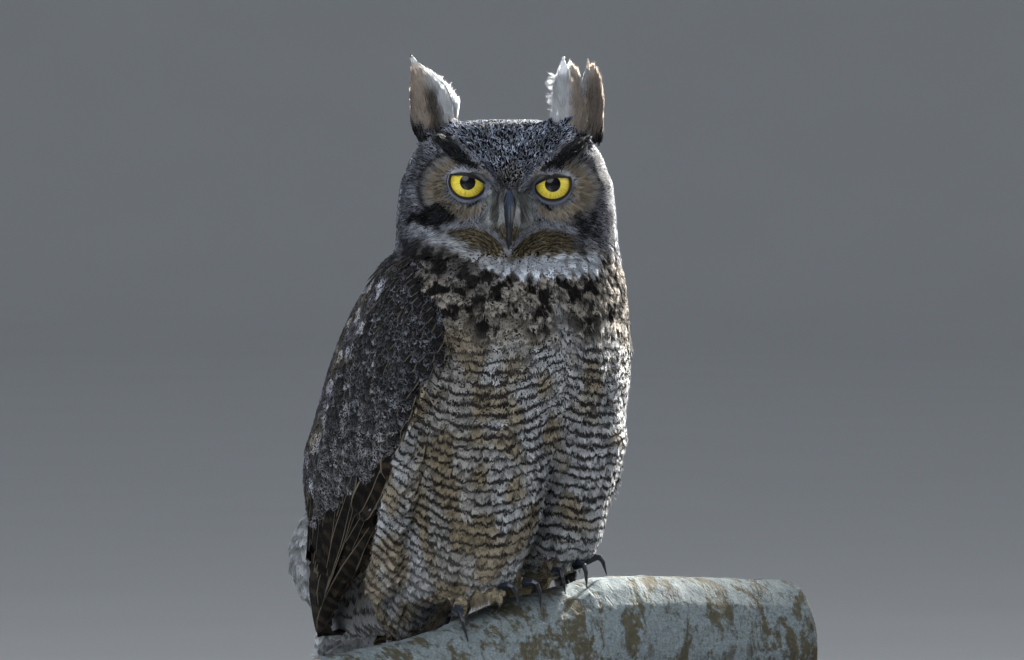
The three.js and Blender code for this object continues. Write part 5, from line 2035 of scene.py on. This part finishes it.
class OWL_OT_perch(bpy.types.Operator):
    """Make the cut branch"""

    bl_idname = "owl.perch"
    bl_label = "Perch"

    def execute(self, context):
        mesh = remeshed(("perch",), 2.6, 0.0, 2)
        points = vertices_of(mesh)
        outward = normals_of(mesh)
        run = turned(points, -PERCH_TURN, 0, 1)
        cut = ramp(0.80, 0.95, np.abs(turned(outward, -PERCH_TURN, 0, 1)[:, 0]))
        rough = wobble(run * np.array([1.0, 0.4, 0.4]), 17, 31) * 0.5 + wobble(run, 6, 32) * 0.25
        knots = np.exp(-(off_line(run, ((110, -40, 0), (112, -38, 2))) / 10) ** 2) * 2.0
        put_vertices(mesh,
            points + outward * ((rough - 0.75) * 0.8 + knots * 0.6)[:, None] * (1 - cut[:, None]))
        put(mesh, "run", run * MM)
        put(mesh, "cut", cut)
        ends = run.copy()
        ends[:, 0] = 0
        for low in (True, False):
            end = (cut > 0.5) & ((run[:, 0] < 0) == low)
            if end.any():
                ends[(run[:, 0] < 0) == low, 1:] -= run[end][:, 1:].mean(axis=0)
        put(mesh, "rings", ends * MM)
        finish(new_object("perch_bark", mesh), bark_material(), "bark", "perch")
        return {"FINISHED"}


class OWL_OT_stand(bpy.types.Operator):
    """Finish the display stand"""

    bl_idname = "owl.stand"
    bl_label = "Stand"

    def execute(self, context):
        finishes = {"stand_base": wood_material(), "stand_rod_1": steel_material()}
        finishes["stand_rod_2"] = finishes["stand_rod_1"]
        for name, made in finishes.items():
            mesh = merged_copy((name,), 0.0)
            piece = new_object(name + "_turned", mesh)
            bevel = piece.modifiers.new("edge", "BEVEL")
            bevel.width = 0.0012
            bevel.segments = 3
            bevel.angle_limit = math.radians(40)
            mesh.shade_smooth()
            mesh.set_sharp_from_angle(angle=math.radians(35))
            slot = "stand_wood" if name == "stand_base" else "stand_steel"
            finish(piece, made, slot, name)
        return {"FINISHED"}


# ---- stage


def light(name, kind, place, aim, tint, **settings):
    """A light at a place, turned to another, with its own settings."""
    data = bpy.data.lights.new(name, kind)
    data.color = tint
    for key, value in settings.items():
        setattr(data, key, value)
    made = bpy.data.objects.new(name, data)
    made.location = place
    made.rotation_euler = (Vector(aim) - Vector(place)).to_track_quat("-Z", "Y").to_euler()
    bpy.context.scene.collection.objects.link(made)


class OWL_OT_stage(bpy.types.Operator):
    """Set the floor, the lights and the camera"""

    bl_idname = "owl.stage"
    bl_label = "Stage"

    def execute(self, context):
        stage = context.scene.owl_stage
        a, e = stage.azimuth, stage.elevation
        back = np.array([math.sin(a) * math.cos(e), -math.cos(a) * math.cos(e), math.sin(e)])
        right = np.array([math.cos(a), math.sin(a), 0])
        target = to_row(right * -16 + np.array([0, 0, 216]))
        camera = bpy.data.objects.new("camera", bpy.data.cameras.new("camera"))
        camera.data.sensor_width = 36
        camera.data.lens = 36 * stage.distance / 0.8192
        camera.data.clip_start, camera.data.clip_end = 0.5, 60
        camera.location = target + back * stage.distance
        camera.rotation_euler = Vector(-back).to_track_quat("-Z", "Y").to_euler()
        context.scene.collection.objects.link(camera)
        context.scene.camera = camera

        floor = BASE_LOW[2]
        profile = [(r, floor) for r in (0.0, 2.0, 6.0, 11.0)]
        bend = [math.radians(d) for d in range(10, 100, 10)]
        profile += [(11 + 3 * math.sin(t), floor + 3 - 3 * math.cos(t)) for t in bend]
        profile.append((14, floor + 11))
        spin = np.linspace(0, 2 * math.pi, 96, endpoint=False)
        rows = np.array([[(r * math.cos(s), r * math.sin(s), z) for s in spin] for r, z in profile])
        mesh = grid_mesh("stage_floor", to_owl(rows))
        made, n, shader = material("stage_paper", Specular_IOR_Level=0.1)
        paper = n.noise(3, 2)
        base = n.mix(paper, (0.60, 0.61, 0.62), (0.64, 0.65, 0.66))
        join_up(n, shader, base, n.fit(paper, 0.05, 0.85), paper, 0.0002)
        mesh.materials.append(made)
        new_object("stage_floor", mesh)

        world = bpy.data.worlds.new("sky")
        world.use_nodes = True
        sky = world.node_tree.nodes["Background"].inputs
        sky["Color"].default_value = (0.86, 0.92, 1.0, 1)
        sky["Strength"].default_value = stage.sky
        context.scene.world = world
        context.scene.view_settings.view_transform = "Standard"
        high = np.array([0, 0, 1.0])
        light("light_front", "AREA", target + back * 2.2 + high * 1.5 - right * 0.9, target,
            (0.95, 0.97, 1.0), shape="DISK", size=2.4, energy=stage.key)
        light("light_side", "AREA", target + right * 2.2 - back * 0.2 + high * 0.9, target,
            (1.0, 0.98, 0.94), shape="DISK", size=1.6, energy=stage.key * 0.25)
        light("light_rim", "SPOT", target + right * 1.35 - back * 1.75 + high * 1.35, target + high * 0.06,
            (1.0, 0.95, 0.86), energy=stage.sun, shadow_soft_size=0.12, spot_size=math.radians(14),
            spot_blend=0.5)
        return {"FINISHED"}


# ---- the add-on


class OWL_PT_panel(bpy.types.Panel):
    """Lists the owl's parts and sizes."""

    bl_label = "Great horned owl"
    bl_idname = "OWL_PT_panel"
    bl_space_type = "VIEW_3D"
    bl_region_type = "UI"
    bl_category = "Owl"

    def draw(self, context):
        for group in (context.scene.owl_feathers, context.scene.owl_colours, context.scene.owl_stage):
            box = self.layout.box()
            for name in group.bl_rna.properties.keys():
                if name not in ("rna_type", "name"):
                    box.prop(group, name)
        for operator in OPERATORS:
            self.layout.operator(operator.bl_idname)


OPERATORS = (OWL_OT_stage, OWL_OT_skin, OWL_OT_body, OWL_OT_head, OWL_OT_ears, OWL_OT_back, OWL_OT_feet,
    OWL_OT_quills, OWL_OT_tail, OWL_OT_eyes, OWL_OT_horn, OWL_OT_perch, OWL_OT_stand)
CLASSES = (OwlFeathers, OwlColours, OwlStage, *OPERATORS, OWL_PT_panel)


def register():
    """Registers the classes and puts their settings on the scene."""
    for made in CLASSES:
        bpy.utils.register_class(made)
    bpy.types.Scene.owl_feathers = bpy.props.PointerProperty(type=OwlFeathers)
    bpy.types.Scene.owl_colours = bpy.props.PointerProperty(type=OwlColours)
    bpy.types.Scene.owl_stage = bpy.props.PointerProperty(type=OwlStage)


def unregister():
    """Takes them off again."""
    del bpy.types.Scene.owl_stage
    del bpy.types.Scene.owl_colours
    del bpy.types.Scene.owl_feathers
    for made in reversed(CLASSES):
        bpy.utils.unregister_class(made)


def main():
    """Makes the whole owl."""
    register()
    for operator in OPERATORS:
        group, name = operator.bl_idname.split(".")
        getattr(getattr(bpy.ops, group), name)()


if __name__ == "__main__":
    main()
